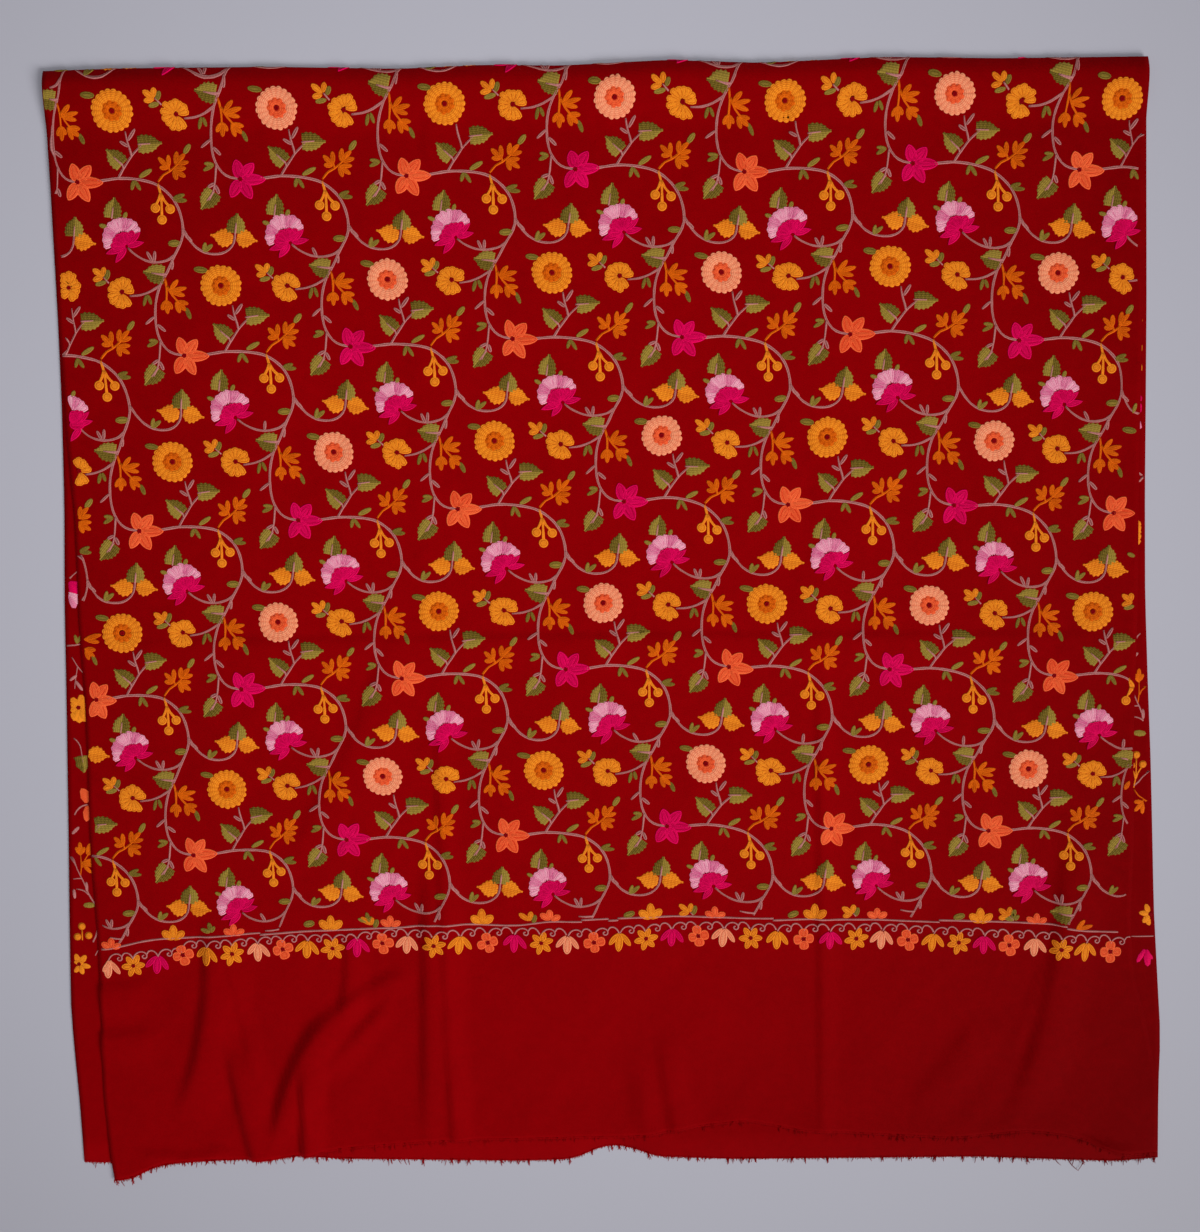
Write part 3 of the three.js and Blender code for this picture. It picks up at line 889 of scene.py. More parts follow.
# The carnation's pale fan: its petals' angles, their start, reach and width, and the darker tone
# of some of them.
FAN_PETALS, FAN_START, FAN_TURN = 11, 204, 17.6
FAN_PETAL = (5, 19, 7)
FAN_TONES = (-0.1, 0.1)
DARK_FAN_PETALS, DARK_FAN = (2, 3, 7, 8), -0.75
CARNATION_TONES = (-0.2, 0.1)
# Its dark petals, from its foot: angle, reach and width. The spikes stand out.
CARNATION_SHORT = [
    (176, 15, 9), (153, 14.5, 9.5), (131, 14.5, 9.5), (109, 13.8, 9.5), (88, 13.2, 9.5), (66, 14.5, 8.5),
]
CARNATION_SPIKES = [(42, 17.8, 6.5), (11, 17, 6.5), (231, 17.5, 7), (198, 20.5, 7)]
DAISY_AT = (34, -96)
# Half daisies: angles of their petals, reach and width, and how much further the later ones reach.
DAISY_PETALS, DAISY_FROM, DAISY_TURN = 12, 8, 292
EDGE_DAISY_FROM = -70  # for one that stands in for a rosette
DAISY_REACH, DAISY_WIDTH, DAISY_MISS = 12.6, 7.2, (-0.7, 0.8)
DAISY_SHORT_PETALS, DAISY_STRETCH = 5, 1.8
PETAL_START = 1.2  # how far from the middle the petals of carnations and daisies start
# Three-petalled buds: foot and tips.
GOLD_BUD = ((15.8, -83.5), [(16.7, -74.5), (5.8, -76), (5.8, -85.5)])
SPRIG_BUDS = [
    ((80, 9), [(71, 18.5), (80, 21.5), (71, 10)]),
    ((86, 12), [(88, 23.5), (96.5, 22), (99, 15)]),
    ((84.5, 8.5), [(97, 8.5), (96, 1), (88, -1.5)]),
    ((74.5, -102.5), [(69.4, -111.5), (74.7, -116), (79.4, -111)]),
    ((77, -95.5), [(86, -85.5), (94, -92), (92, -99.5)]),
    ((82.5, -104), [(94, -106), (93, -112.5), (86.3, -115)]),
]
GOLD_BUD_WIDTH, SPRIG_BUD_WIDTH = 6.2, 5.2
SPRIG_STEMS = [
    [(69.5, -2.5), (75, 3.5), (81, 6.5), (88, 12), (94, 19)],
    [(81, 6.5), (80, 10), (77, 14)],
    [(73.5, -84), (75, -93), (74.6, -105)],
    [(75.5, -91), (80, -99), (87, -106.5)],
]
BERRY_STEMS = [
    [(69, -4), (70.5, -9.5), (71.7, -15.5)],
    [(71, -12.5), (69.5, -17.5), (66.5, -22.5)],
    [(71.5, -12.5), (72, -21.5), (72, -31.5)],
    [(71.8, -12.5), (74.5, -18.5), (79, -23.5)],
]
BERRIES = [(66, -25), (72, -35), (80, -26)]

# Rings of round flower heads: radius, depth between lobes, height on and between the lobes,
# tone on and between the lobes. Where a ring or the place between lobes lies lower, its darker
# tone is painted shade in the grooves.
ROSETTE_RINGS = [
    (18.8, 1.5, -SUNK, -SUNK, 0.5, 0.3),
    (17.9, 1.5, 0.55, 0.3, 1.0, 0.45),
    (15.4, 0.5, 0.46, 0.28, 0.66, 0.3),
    (12.2, 0.0, 0.62, 0.36, 0.95, 0.45),
    (8.2, 0.0, 0.5, 0.3, 0.7, 0.4),
    (7.2, 0.0, -SUNK, -SUNK, 0.1, 0.1),
]
HEART_RINGS = [
    (9.6, 2.2, -SUNK, -SUNK, 0.4, 0.2),
    (8.8, 2.2, 0.6, 0.52, 0.8, 0.3),
    (6.0, 0.0, 0.66, 0.5, 0.6, 0.2),
    (3.6, 0.0, 0.58, 0.5, 0.9, 0.6),
    (1.6, 0.0, -SUNK, -SUNK, 0.0, 0.0),
]
EYE_RINGS = [
    (2.5, 0.4, 0.2, 0.2, 0.3, 0.3),
    (2.0, 0.3, 0.78, 0.76, 0.7, 0.4),
    (0.9, 0.0, 0.64, 0.64, 0.2, 0.2),
]
ROSETTE_LOBES, HEART_LOBES, EYE_LOBES, BERRY_LOBES = 20, 9, 5, 6
BERRY_RINGS = [
    (4.6, 0.0, -SUNK, -SUNK, 0.4, 0.4),
    (3.9, 0.0, 0.55, 0.55, 1.0, 1.0),
    (2.6, 0.0, 0.34, 0.34, 0.3, 0.3),
    (1.5, 0.0, 0.6, 0.6, 0.8, 0.8),
]
# Room that whole flowers need before the border, from their middles.
ROSETTE_SPACE, CARNATION_SPACE, DAISY_SPACE = 18, 20, 14

LOWER_ROW_COUNT = 6
LOWER_STARS = (-2, 7)  # first star of a lower row and the one past its last
# The seeds of the needles: where each kind starts, and the steps from row to row.
LOWER_SEED, WRONG_SIDE_SEED, UPPER_ROW_SEED, LOWER_ROW_SEED = 1000, 2000, 100, 10
FLOWER_SEED, HALF_FLOWER_SEED, CORAL_SEED, LOWER_END_SEED = 3000, 4000, 50, 5000


def stitch_star(needle, piece):
    if needle.beside_edge(STAR_AT)[0] < -STAR_ROOM:
        return
    centre = needle.moved_in(STAR_AT, STAR_ROOM)
    turn = needle.chance.uniform(-STAR_TURN, STAR_TURN)
    for angle, reach, width in STAR:
        tone = needle.chance.uniform(*PETAL_TONES)
        needle.ray(piece, centre, angle + turn, STAR_START, reach, width, STAR_SHAPE, tone=tone)
    needle.disc("eyes", centre, EYE_LOBES, EYE_RINGS)


def stitch_rosette(needle, piece, heart):
    start = needle.chance.uniform(0, 360 / ROSETTE_LOBES)
    needle.disc(piece, ROSETTE_AT, ROSETTE_LOBES, ROSETTE_RINGS, start, coarse_rings=(0, 1, 3, 5))
    needle.disc(heart, ROSETTE_AT, HEART_LOBES, HEART_RINGS, coarse_rings=(0, 1, 2, 4))
    needle.disc("eyes", ROSETTE_AT, EYE_LOBES, EYE_RINGS)


def stitch_carnation(needle):
    for i in range(FAN_PETALS):
        angle = FAN_START - i * FAN_TURN
        tone = (DARK_FAN if i in DARK_FAN_PETALS else 0.0) + needle.chance.uniform(*FAN_TONES)
        needle.ray("carnation_fans", CARNATION_AT, angle, *FAN_PETAL, FAN_SHAPE, tone=tone, small=True)
    for petals, shape in ((CARNATION_SHORT, CARNATION_SHAPE), (CARNATION_SPIKES, SPIKE_SHAPE)):
        for angle, reach, width in petals:
            tone = needle.chance.uniform(*CARNATION_TONES)
            needle.ray("carnation_petals", CARNATION_FOOT, angle, PETAL_START, reach, width, shape,
                       tone=tone, rings=FAN_RINGS)


def stitch_daisy(needle, centre, start=DAISY_FROM):
    for i in range(DAISY_PETALS):
        angle = start + i * DAISY_TURN / (DAISY_PETALS - 1)
        reach = DAISY_REACH + needle.chance.uniform(*DAISY_MISS)
        reach += DAISY_STRETCH if i >= DAISY_SHORT_PETALS else 0
        needle.ray("half_daisies", centre, angle, PETAL_START, reach, DAISY_WIDTH, DAISY_SHAPE,
                   small=True)
    needle.disc("eyes", centre, EYE_LOBES, EYE_RINGS)


def stitch_bud(needle, piece, foot, tips, width):
    for tip in tips:
        tone = needle.chance.uniform(*PETAL_TONES)
        needle.petal(piece, foot, tip, width, BUD_SHAPE, tone, small=True)


def stitch_sprigs(needle):
    for route in SPRIG_STEMS:
        needle.stem("sprigs", route, *SPRIG_STEM)
    for foot, tips in SPRIG_BUDS:
        stitch_bud(needle, "sprigs", foot, tips, SPRIG_BUD_WIDTH)


def stitch_berries(needle):
    for route in BERRY_STEMS:
        needle.stem("berries", route, *BERRY_STEM)
    for centre in BERRIES:
        needle.disc("berries", centre, BERRY_LOBES, BERRY_RINGS, coarse_rings=(0, 3))


def stitch_leaves(needle):
    for base, tip, width, dark_left in TOOTHED_LEAVES:
        base, tip = np.array(base), np.array(tip)
        if not needle.has_room(tip, LEAF_SPACE):
            tip, width = mix(base, tip, SHORTENED), width * SHORTENED
        if not needle.has_room(tip, TIP_SPACE) or not needle.has_room(base, BASE_SPACE):
            continue
        needle.leaf("leaves", base, tip, width, LEAF_TONES[::-1] if dark_left else LEAF_TONES)
        if not needle.coarse:
            needle.stem("vines", [mix(base, tip, share) for share in MIDRIB], *MIDRIB_STEM)
    for base, tip, width, tone in PLAIN_LEAVES:
        needle.petal("leaves", base, tip, width, LEAF_SHAPE, tone + LEAF_SHADE, small=True)
    for base, tip, width in GOLD_LEAVES:
        middle = mix(np.array(base), np.array(tip), 0.5)
        if abs(needle.beside_edge(middle)[0]) >= GOLD_LEAF_ROOM:
            needle.leaf("gold_leaves", base, tip, width, GOLD_LEAF_TONES, GOLD_HALF_WIDTH)


def stitch_vine(needle):
    needle.stem("vines", VINE, *VINE_STEM, double=True)
    for width, route in BRANCHES:
        double = width > DOUBLE_FROM
        needle.stem("vines", route, width * BRANCH_SHARE, BRANCH_TAPER, double=double)
    for base, tip, width in TWIGS:
        if needle.chance.random() < TWIG_SHARE:
            spread = width * LOOP_SPREAD
            needle.petal("vines", base, tip, spread, LOOP_SHAPE, small=True, rings=LOOP_RINGS)


def stitch_repeat(needle, coral, coral_star):
    """One repeat: a star on the vine, with all that grows on the vine up to the next star."""
    rosette, heart = ("gold_rosettes", "gold_hearts") if coral else ("peach_rosettes", "coral_hearts")
    stitch_vine(needle)
    stitch_leaves(needle)
    stitch_star(needle, "coral_stars" if coral_star else "magenta_stars")
    if needle.has_room(ROSETTE_AT, ROSETTE_SPACE):
        inside, _ = needle.beside_edge(ROSETTE_AT)
        if inside > ROSETTE_ROOM:
            stitch_rosette(needle, rosette, heart)
        elif inside > -ROSETTE_ROOM:
            stitch_daisy(needle, needle.moved_in(ROSETTE_AT, DAISY_ROOM), EDGE_DAISY_FROM)
    if needle.has_room(CARNATION_AT, CARNATION_SPACE):
        stitch_carnation(needle)
    if needle.has_room(DAISY_AT, DAISY_SPACE):
        stitch_daisy(needle, DAISY_AT)
    if needle.has_room(GOLD_BUD[0], TIP_SPACE):
        stitch_bud(needle, "gold_leaves", *GOLD_BUD, GOLD_BUD_WIDTH)
    stitch_sprigs(needle)
    stitch_berries(needle)


def stitch_upper_field():
    for row, stars in enumerate(STAR_ROWS):
        for i in range(-1, len(stars)):
            coral = i % 2 == 0
            place = even_place(row, first_in_row(row) + i)
            needle = Needle(*place, seed=UPPER_ROW_SEED * row + i, in_field=True)
            stitch_repeat(needle, coral, coral or (row, i) == ODD_STAR)


def stitch_lower_field():
    """The rows go on past the fold, with simpler stitches where they lie underneath."""
    for row in range(-1, -1 - LOWER_ROW_COUNT, -1):
        for i in range(LOWER_STARS[0] - row // 2, LOWER_STARS[1] - row // 2):
            coral = (i + row) % 2 == 0
            place = even_place(row, i)
            near_fold = row == -1
            seed = LOWER_ROW_SEED * row + i
            needle = Needle(*place, seed=LOWER_SEED + seed, coarse=not near_fold, in_field=True)
            stitch_repeat(needle, coral, coral)
            if not near_fold:
                needle = Needle(*place, seed=WRONG_SIDE_SEED + seed, wrong_side=True, in_field=True)
                stitch_repeat(needle, coral, coral)


# ---- The border ----

BORDER_FROM = 776  # the needle of the line starts this far from the fold
LINE_BREAKS = [-520, -332, -31, -6, 3, 148, 303, 421, 470]  # where its thread ends and starts anew
LINE_SHIFT = 0.9  # from one thread to the next, the line steps to and fro
LINE_STEP, LINE_OVERLAP = 14, 0.5
# Middles of the hanging flowers: distance from the fold at places across.
FLOWER_LINE = np.array([
    (-520, 818), (-475, 816), (-427, 813), (-403, 805), (-360, 804), (-311, 801), (-264, 800),
    (-215, 794), (-44, 797), (102, 793), (250, 799), (393, 806), (463, 812), (520, 814),
]).T
# Where some of the hanging flowers are, counted from the left.
FLOWERS_ALONG = np.array([
    (0, -475), (12, -194), (18, -44), (24, 102.5), (30, 250.5), (36, 393), (39, 463.5),
]).T
# Peach, magenta and amber tulips, daisies and coral flowers, in their order.
FLOWER_ORDER = "PDMCODPCODMCPDOCMDPCODMCPDOCMDPCODMCPDOC"
# Tips of a tulip's petals, from its middle, and their widths.
TULIP = [(-10.6, -3.2, 5.8), (10.2, -5.8, 5.8), (-1.2, -10.2, 8.4)]
TULIP_FOOT = (0.12, 7.8)  # share of a tip's place across, and height over the middle
TULIP_LEAN = 1.5
TULIP_PIECES = {"P": "peach_tulips", "M": "magenta_tulips", "O": "amber_tulips"}
# Piece, number of petals, their reach, width and shape.
ROUND_FLOWERS = {
    "D": ("border_daisies", 6, 11.4, 6.6, (0.5, 0.6)),
    "C": ("border_rounds", 4, 10.4, 10, (0.5, 0.4)),
}
ROUND_START, ROUND_TURN = 1.1, 20
# The scrolls over each flower, from its middle.
SCROLL_ARCH = [
    (0.3, 7.5), (2.4, 11), (5.8, 13.2), (9.6, 13.3), (12.5, 11.4), (13.1, 8.7), (11.5, 6.9), (9.3, 7.5),
    (8.9, 9.4), (10.6, 10),
]
SCROLL_RISE = [(13, 10.6), (15, 13.6), (18.4, 14.1), (21.7, 11.8), (23.8, 8)]
# Over the line, gold and coral half flowers by turns: their places across, and whether a leaf
# stands left of the gold one and a pair of leaves left of the coral one.
HALF_FLOWERS = [
    (-413, -356, False, True), (-265.5, -209, True, True), (-124, -60, False, False),
    (34, 94, True, False), (187, 245.5, True, False), (342, 394.5, True, True),
    (None, -471, False, False),
]
# Their foot, the tips of their petals and the width of these.
GOLD_HALF = ((0, -1), [(-10.8, 8.4), (11, 8), (0, 14.6)], 8.8)
CORAL_HALF = ((0, 0.5), [(-9.5, 6.5), (9.5, 5.5), (-0.5, 11.5)], 7.4)
# Base, tip, width, shape and tone of the leaves.
LINE_LEAF = ((-14.5, 6.5), (-25.5, 3.5), 6.8, LOOP_SHAPE, -0.2)
LINE_PAIR = [
    ((-21, 5), (-22.5, 14), 4.8, LEAF_SHAPE, -0.3),
    ((-21, 4), (-31, 7), 4.8, LEAF_SHAPE, 0.0),
    ((-21, 4), (-17, 9.5), 4.2, LEAF_SHAPE, -0.2),
]
# Flowers at the ends of the lower half's border, which show beside the upper one.
LOWER_END_FLOWERS = [(498, 818, "M"), (501, 777, "D"), (-503, 812, "D")]


def border_needle(x, line, seed, upper, wrong_side):
    """A needle over a place of one of the border's lines, or at the like place of the other end."""
    p = float(np.interp(x, *line))
    if upper:
        return Needle(x, p, seed=seed)
    return Needle(-x, -p, seed=seed, turned=True, coarse=True, wrong_side=wrong_side)


def stitch_tulip(needle, piece):
    lean = needle.chance.uniform(-TULIP_LEAN, TULIP_LEAN)
    for x, y, width in TULIP:
        needle.petal(piece, (x * TULIP_FOOT[0], TULIP_FOOT[1]), (x + lean, y), width, TULIP_SHAPE)


def stitch_round_flower(needle, piece, count, reach, width, shape):
    turn = needle.chance.uniform(0, ROUND_TURN)
    for i in range(count):
        needle.ray(piece, (0, 0), turn + i * 360 / count, ROUND_START, reach, width, shape)
    needle.disc("eyes", (0, 0), EYE_LOBES, EYE_RINGS)


def stitch_flower(needle, flower):
    if flower in ROUND_FLOWERS:
        stitch_round_flower(needle, *ROUND_FLOWERS[flower])
    else:
        stitch_tulip(needle, TULIP_PIECES[flower])


def stitch_hanging_flower(needle, flower):
    needle.stem("border_scrolls", SCROLL_ARCH, *ARCH_STEM)
    needle.stem("border_scrolls", SCROLL_RISE, *RISE_STEM)
    stitch_flower(needle, flower)


def stitch_over_line(gold_at, coral_at, leaf, pair, seed, upper, wrong_side):
    """A gold and a coral half flower that stand on the line, and the leaves beside them."""
    if gold_at is not None:
        needle = border_needle(gold_at, BORDER_LINE, seed, upper, wrong_side)
        stitch_bud(needle, "amber_tulips", *GOLD_HALF)
        if leaf:
            needle.petal("leaves", *LINE_LEAF, small=True)
    needle = border_needle(coral_at, BORDER_LINE, seed + CORAL_SEED, upper, wrong_side)
    stitch_bud(needle, "border_rounds", *CORAL_HALF)
    if pair:
        for leaf in LINE_PAIR:
            needle.petal("leaves", *leaf, small=True)


def stitch_border():
    for upper, wrong_side in ((True, False), (False, False), (False, True)):
        way = 1 if upper else -1
        needle = Needle(0, way * BORDER_FROM, turned=not upper, coarse=not upper, wrong_side=wrong_side)
        for i, (start, end) in enumerate(zip(LINE_BREAKS, LINE_BREAKS[1:])):
            shift = LINE_SHIFT * (-1) ** i
            places = np.linspace(start, end + LINE_OVERLAP, max(3, round((end - start) / LINE_STEP)))
            line = [(x, BORDER_FROM - float(np.interp(x, *BORDER_LINE)) + shift) for x in places]
            needle.stem("border_scrolls", line, *LINE_STEM)
        for i, flower in enumerate(FLOWER_ORDER):
            x = float(np.interp(i, *FLOWERS_ALONG))
            needle = border_needle(x, FLOWER_LINE, FLOWER_SEED + i, upper, wrong_side)
            stitch_hanging_flower(needle, flower)
        for i, places in enumerate(HALF_FLOWERS):
            stitch_over_line(*places, HALF_FLOWER_SEED + i, upper, wrong_side)
    for i, (x, p, flower) in enumerate(LOWER_END_FLOWERS):
        stitch_flower(Needle(x, -p, seed=LOWER_END_SEED + i, turned=True, wrong_side=True), flower)


# ---- Frayed ends ----

FRINGE_STEP = 0.95
FRINGE_MARGIN = (1, 0.6)  # at the left and right corner
FRINGE_ROOT = 1.6  # the threads start this far inside the woven edge
FRINGE_REACH = (1.2, 4.6)
FRINGE_MEMORY = 0.8  # how much a thread takes after the one before it
FRINGE_LEAN = 0.16
CORNERS_AT = 990  # distance from the fold at which the ends' corners are read off
STATIONS = 4  # along a loose thread, each with three points
TAPER = 0.55
THREAD_HEIGHT = 1.3  # a loose thread's height, as a share of half its width
THREAD_WIDTH, TUFT_THREAD_WIDTH = 1.0, 1.15
THREAD_TURN, THREAD_CURL, THREAD_LIFT = 0.2, 1.4, 0.15  # most that each may vary
THREAD_TONES = (0.2, 0.9)
TUFT_SHARE = 0.045  # of the threads start a tuft
TUFT_THREADS = 5
TUFT_REACH = (2, 5.5)
TUFT_POINT = 1.1  # how far a tuft's threads turn to its middle, in radians
LONG_REACH, RARITY = 5, 14  # a single thread stands out up to this far, and most far less
# Long curled threads at the right corner of the lower end: how much longer and how curled.
CORNER_THREADS = {972: (6, 5), 985: (12, 7), 1001: (9, -4)}


def loose_thread(root, way, length, thickness, curl):
    """Points of a thin tapering thread that lies level, with three sides."""
    points = []
    along = np.array(way, float)
    across = np.array([-along[1], along[0], 0.0])
    for share in np.linspace(0, 1, STATIONS):
        centre = root + along * length * share + across * curl * share**2
        half = thickness * (1 - TAPER * share) / 2
        points += [centre - across * half, centre + across * half, centre + (0, 0, half * THREAD_HEIGHT)]
    return np.array(points)


def make_fringe(name, upper, seed):
    """Loose warp threads past the last weft of one end. Most are short, and some stand out in
    pointed tufts."""
    chance = random.Random(seed)
    way = 1 if upper else -1
    left, right = (float(edge[0]) for edge in side_edges(np.array([way * CORNERS_AT])))
    spots = np.arange(left + FRINGE_MARGIN[0], right - FRINGE_MARGIN[1], FRINGE_STEP)
    p = way * (cloth_length(spots, upper) - FRINGE_ROOT)
    fringe = Thread()
    lean, reach, tuft, tuft_reach = 0.0, 3.0, 0, 0.0
    for k, root in enumerate(on_cloth(spots, p, np.full(len(spots), -CLOTH / 2)) / MM):
        lean = FRINGE_MEMORY * lean + chance.uniform(-FRINGE_LEAN, FRINGE_LEAN)
        reach = mix(chance.uniform(*FRINGE_REACH), reach, FRINGE_MEMORY)
        if tuft == 0 and chance.random() < TUFT_SHARE:
            tuft = TUFT_THREADS
            tuft_reach = chance.uniform(*TUFT_REACH)
        inward = (tuft - (TUFT_THREADS + 1) / 2) / TUFT_THREADS if tuft else 0
        extra = tuft_reach * (1 - abs(inward)) if tuft else LONG_REACH * chance.random() ** RARITY
        tuft = max(tuft - 1, 0)
        turn = lean + chance.uniform(-THREAD_TURN, THREAD_TURN) + inward * TUFT_POINT
        curl = chance.uniform(-THREAD_CURL, THREAD_CURL)
        if not upper and k in CORNER_THREADS:
            extra, curl = CORNER_THREADS[k]
        start = root + (0, 0, chance.uniform(-THREAD_LIFT, THREAD_LIFT))
        along = (math.sin(turn), -math.cos(turn), 0)
        width = TUFT_THREAD_WIDTH if tuft else THREAD_WIDTH
        points = loose_thread(start, along, reach + extra, width, curl)
        tones = np.full(len(points), chance.uniform(*THREAD_TONES))
        fringe.add(np.column_stack([points, points[:, :2], tones]), ring_faces(STATIONS, 3))
    laid = np.concatenate(fringe.shapes)
    return mesh_object(name, laid[:, :3] * MM, fringe.faces, laid[:, 3:5], laid[:, 5])


# ---- Finishes ----

def new_group(name, *inputs):
    """A shader node group that makes a colour and a height from a place, a dark and a light
    colour, and inputs of its own."""
    tree = bpy.data.node_groups.new(name, "ShaderNodeTree")
    inputs += (("Place", "Vector"), ("Dark", "Color"), ("Light", "Color"))
    for way, sockets in (("INPUT", inputs), ("OUTPUT", (("Color", "Color"), ("Height", "Float")))):
        for label, kind in sockets:
            tree.interface.new_socket(label, in_out=way, socket_type="NodeSocket" + kind)
    return tree, tree.nodes.new("NodeGroupInput").outputs


def calculate(tree, operation, *values):
    """A math node fed by sockets or numbers, and its result."""
    node = tree.nodes.new("ShaderNodeMath")
    node.operation = operation
    for socket, value in zip(node.inputs, values):
        if isinstance(value, bpy.types.NodeSocket):
            tree.links.new(value, socket)
        else:
            socket.default_value = value
    return node.outputs[0]


def scaled(tree, value, factor, plus):
    return calculate(tree, "MULTIPLY_ADD", value, factor, plus)


def noise(tree, place, scale, detail):
    node = tree.nodes.new("ShaderNodeTexNoise")
    node.inputs["Scale"].default_value = scale
    node.inputs["Detail"].default_value = detail
    tree.links.new(place, node.inputs["Vector"])
    return node.outputs["Fac"]


def smooth_ramp(tree, value, low, high):
    ramp = tree.nodes.new("ShaderNodeMapRange")
    ramp.interpolation_type = "SMOOTHSTEP"
    ramp.inputs["From Min"].default_value = low
    ramp.inputs["From Max"].default_value = high
    tree.links.new(value, ramp.inputs["Value"])
    return ramp.outputs["Result"]


def bumps(tree, row, length):
    """A value that swells from 0 to 1 and back over each step of the given length."""
    share = calculate(tree, "FRACT", calculate(tree, "DIVIDE", row, length))
    centred = scaled(tree, share, 2.0, -1.0)
    return calculate(tree, "SUBTRACT", 1.0, calculate(tree, "MULTIPLY", centred, centred))


def split(tree, vector):
    node = tree.nodes.new("ShaderNodeSeparateXYZ")
    tree.links.new(vector, node.inputs[0])
    return node.outputs["X"], node.outputs["Y"]


def finish_group(tree, given, tone, height):
    """The group's colour, from dark to light by tone, and its height."""
    node = tree.nodes.new("ShaderNodeMix")
    node.data_type = "RGBA"
    tree.links.new(tone, node.inputs["Factor"])
    colours = {socket.name: socket for socket in node.inputs if socket.type == "RGBA"}
    tree.links.new(given["Dark"], colours["A"])
    tree.links.new(given["Light"], colours["B"])
    mixed = next(socket for socket in node.outputs if socket.type == "RGBA")
    result = tree.nodes.new("NodeGroupOutput").inputs
    tree.links.new(mixed, result["Color"])
    tree.links.new(height, result["Height"])
    return tree


STITCH_ROW = 1.7  # width of a row of chain stitch
STITCH_LOOP = 2.6  # length of one stitch
STITCH_SHIFT = 1.3  # from the stitches of one row to those of the next
WEFT, WARP = 0.9, 1.1  # width of the cloth's threads, drawn coarser than they are
TWILL_SLANT = 0.5


def chain_stitch_group():
    """Rows of chain stitch, darker in the grooves between rows and stitches as painted shade. Rows
    gives the place along and across them in millimetres, and Place the point in metres."""
    tree, given = new_group("chain_stitch", ("Rows", "Vector"), ("Tone", "Float"))
    along, across = split(tree, given["Rows"])
    ridge = bumps(tree, across, STITCH_ROW)
    row = calculate(tree, "FLOOR", calculate(tree, "DIVIDE", across, STITCH_ROW))
    loop = bumps(tree, scaled(tree, row, STITCH_SHIFT, along), STITCH_LOOP)
    height = calculate(tree, "MULTIPLY", ridge, scaled(tree, loop, 0.5, 0.5))
    fuzz = noise(tree, given["Place"], scale=900, detail=3)
    patchy = noise(tree, given["Place"], scale=55, detail=1)
    tone = scaled(tree, given["Tone"], 0.66, -0.24)
    # The stitches' height lightens their crests and darkens the grooves, which is painted shade. Fuzz and
    # patchy are the thread's own uneven tone.
    for layer, share in ((height, 0.32), (fuzz, 0.4), (patchy, 0.22)):
        tone = scaled(tree, layer, share, tone)
    tone = calculate(tree, "MINIMUM", calculate(tree, "MAXIMUM", tone, 0.0), 1.0)
    return finish_group(tree, given, tone, scaled(tree, fuzz, 0.25, height))


def painted_shade(tree, place):
    """Painted shade that darkens the wool: most at the right corner of the open ends, and a little
    towards the sides and the fold."""
    x, y = split(tree, place)
    corner = smooth_ramp(tree, scaled(tree, y, -1.15, x), 0.35, 1.3)
    side = smooth_ramp(tree, calculate(tree, "ABSOLUTE", x), 0.2, 0.58)
    side = calculate(tree, "MULTIPLY", side, smooth_ramp(tree, y, -0.5, 0.0))
    top = smooth_ramp(tree, y, 0.2, 0.5)
    return scaled(tree, top, 0.2, scaled(tree, side, 0.42, corner))


def wool_weave_group():
    """Fine twill with a nap, darkened by painted shade towards the right corner of the open ends,
    the sides and the fold. Weave gives the place on the cloth in millimetres, and Place the point in
    metres."""
    tree, given = new_group("wool_weave", ("Weave", "Vector"))
    across, along = split(tree, given["Weave"])
    weft = bumps(tree, along, WEFT)
    warp = bumps(tree, scaled(tree, along, TWILL_SLANT, across), WARP)
    woven = calculate(tree, "MULTIPLY", scaled(tree, weft, 0.5, 0.5), warp)
    nap = noise(tree, given["Place"], scale=700, detail=4)
    slub = noise(tree, given["Place"], scale=120, detail=3)
    broad = noise(tree, given["Place"], scale=14, detail=2)
    tone = calculate(tree, "MULTIPLY", nap, 0.45)
    # away is painted shade over broad parts of the wool, and it is taken off the tone below.
    away = painted_shade(tree, given["Place"])
    for layer, share in ((woven, 0.22), (slub, 0.3), (broad, 0.2), (away, -0.7)):
        tone = scaled(tree, layer, share, tone)
    return finish_group(tree, given, tone, scaled(tree, slub, 1.2, scaled(tree, nap, 0.8, woven)))


RELIEF = 0.4 * MM


def new_material(name):
    material = bpy.data.materials.new(name)
    material.use_nodes = True
    return material, material.node_tree.nodes["Principled BSDF"].inputs


def fabric_material(name, group, dark, light, roughness, sheen, tint, specular, bump):
    """A material whose colour and relief come from one of the groups."""
    material, shader = new_material(name)
    for label, value in (
        ("Roughness", roughness), ("Specular IOR Level", specular), ("Specular Tint", (*tint, 1)),
        ("Sheen Weight", sheen), ("Sheen Roughness", 0.45), ("Sheen Tint", (*tint, 1)),
    ):
        shader[label].default_value = value
    tree = material.node_tree
    chart = tree.nodes.new("ShaderNodeUVMap")
    chart.uv_map = "rows"
    node = tree.nodes.new("ShaderNodeGroup")
    node.node_tree = group
    tree.links.new(tree.nodes.new("ShaderNodeTexCoord").outputs["Object"], node.inputs["Place"])
    tree.links.new(chart.outputs["UV"], node.inputs[0])
    if "Tone" in node.inputs:
        tone = tree.nodes.new("ShaderNodeAttribute")
        tone.attribute_name = "tone"
        tree.links.new(tone.outputs["Fac"], node.inputs["Tone"])
    node.inputs["Dark"].default_value = (*dark, 1)
    node.inputs["Light"].default_value = (*light, 1)
    relief = tree.nodes.new("ShaderNodeBump")
    relief.inputs["Strength"].default_value = bump
    relief.inputs["Distance"].default_value = RELIEF
    tree.links.new(node.outputs["Height"], relief.inputs["Height"])
    tree.links.new(relief.outputs["Normal"], shader["Normal"])
    tree.links.new(node.outputs["Color"], shader["Base Color"])
    return material


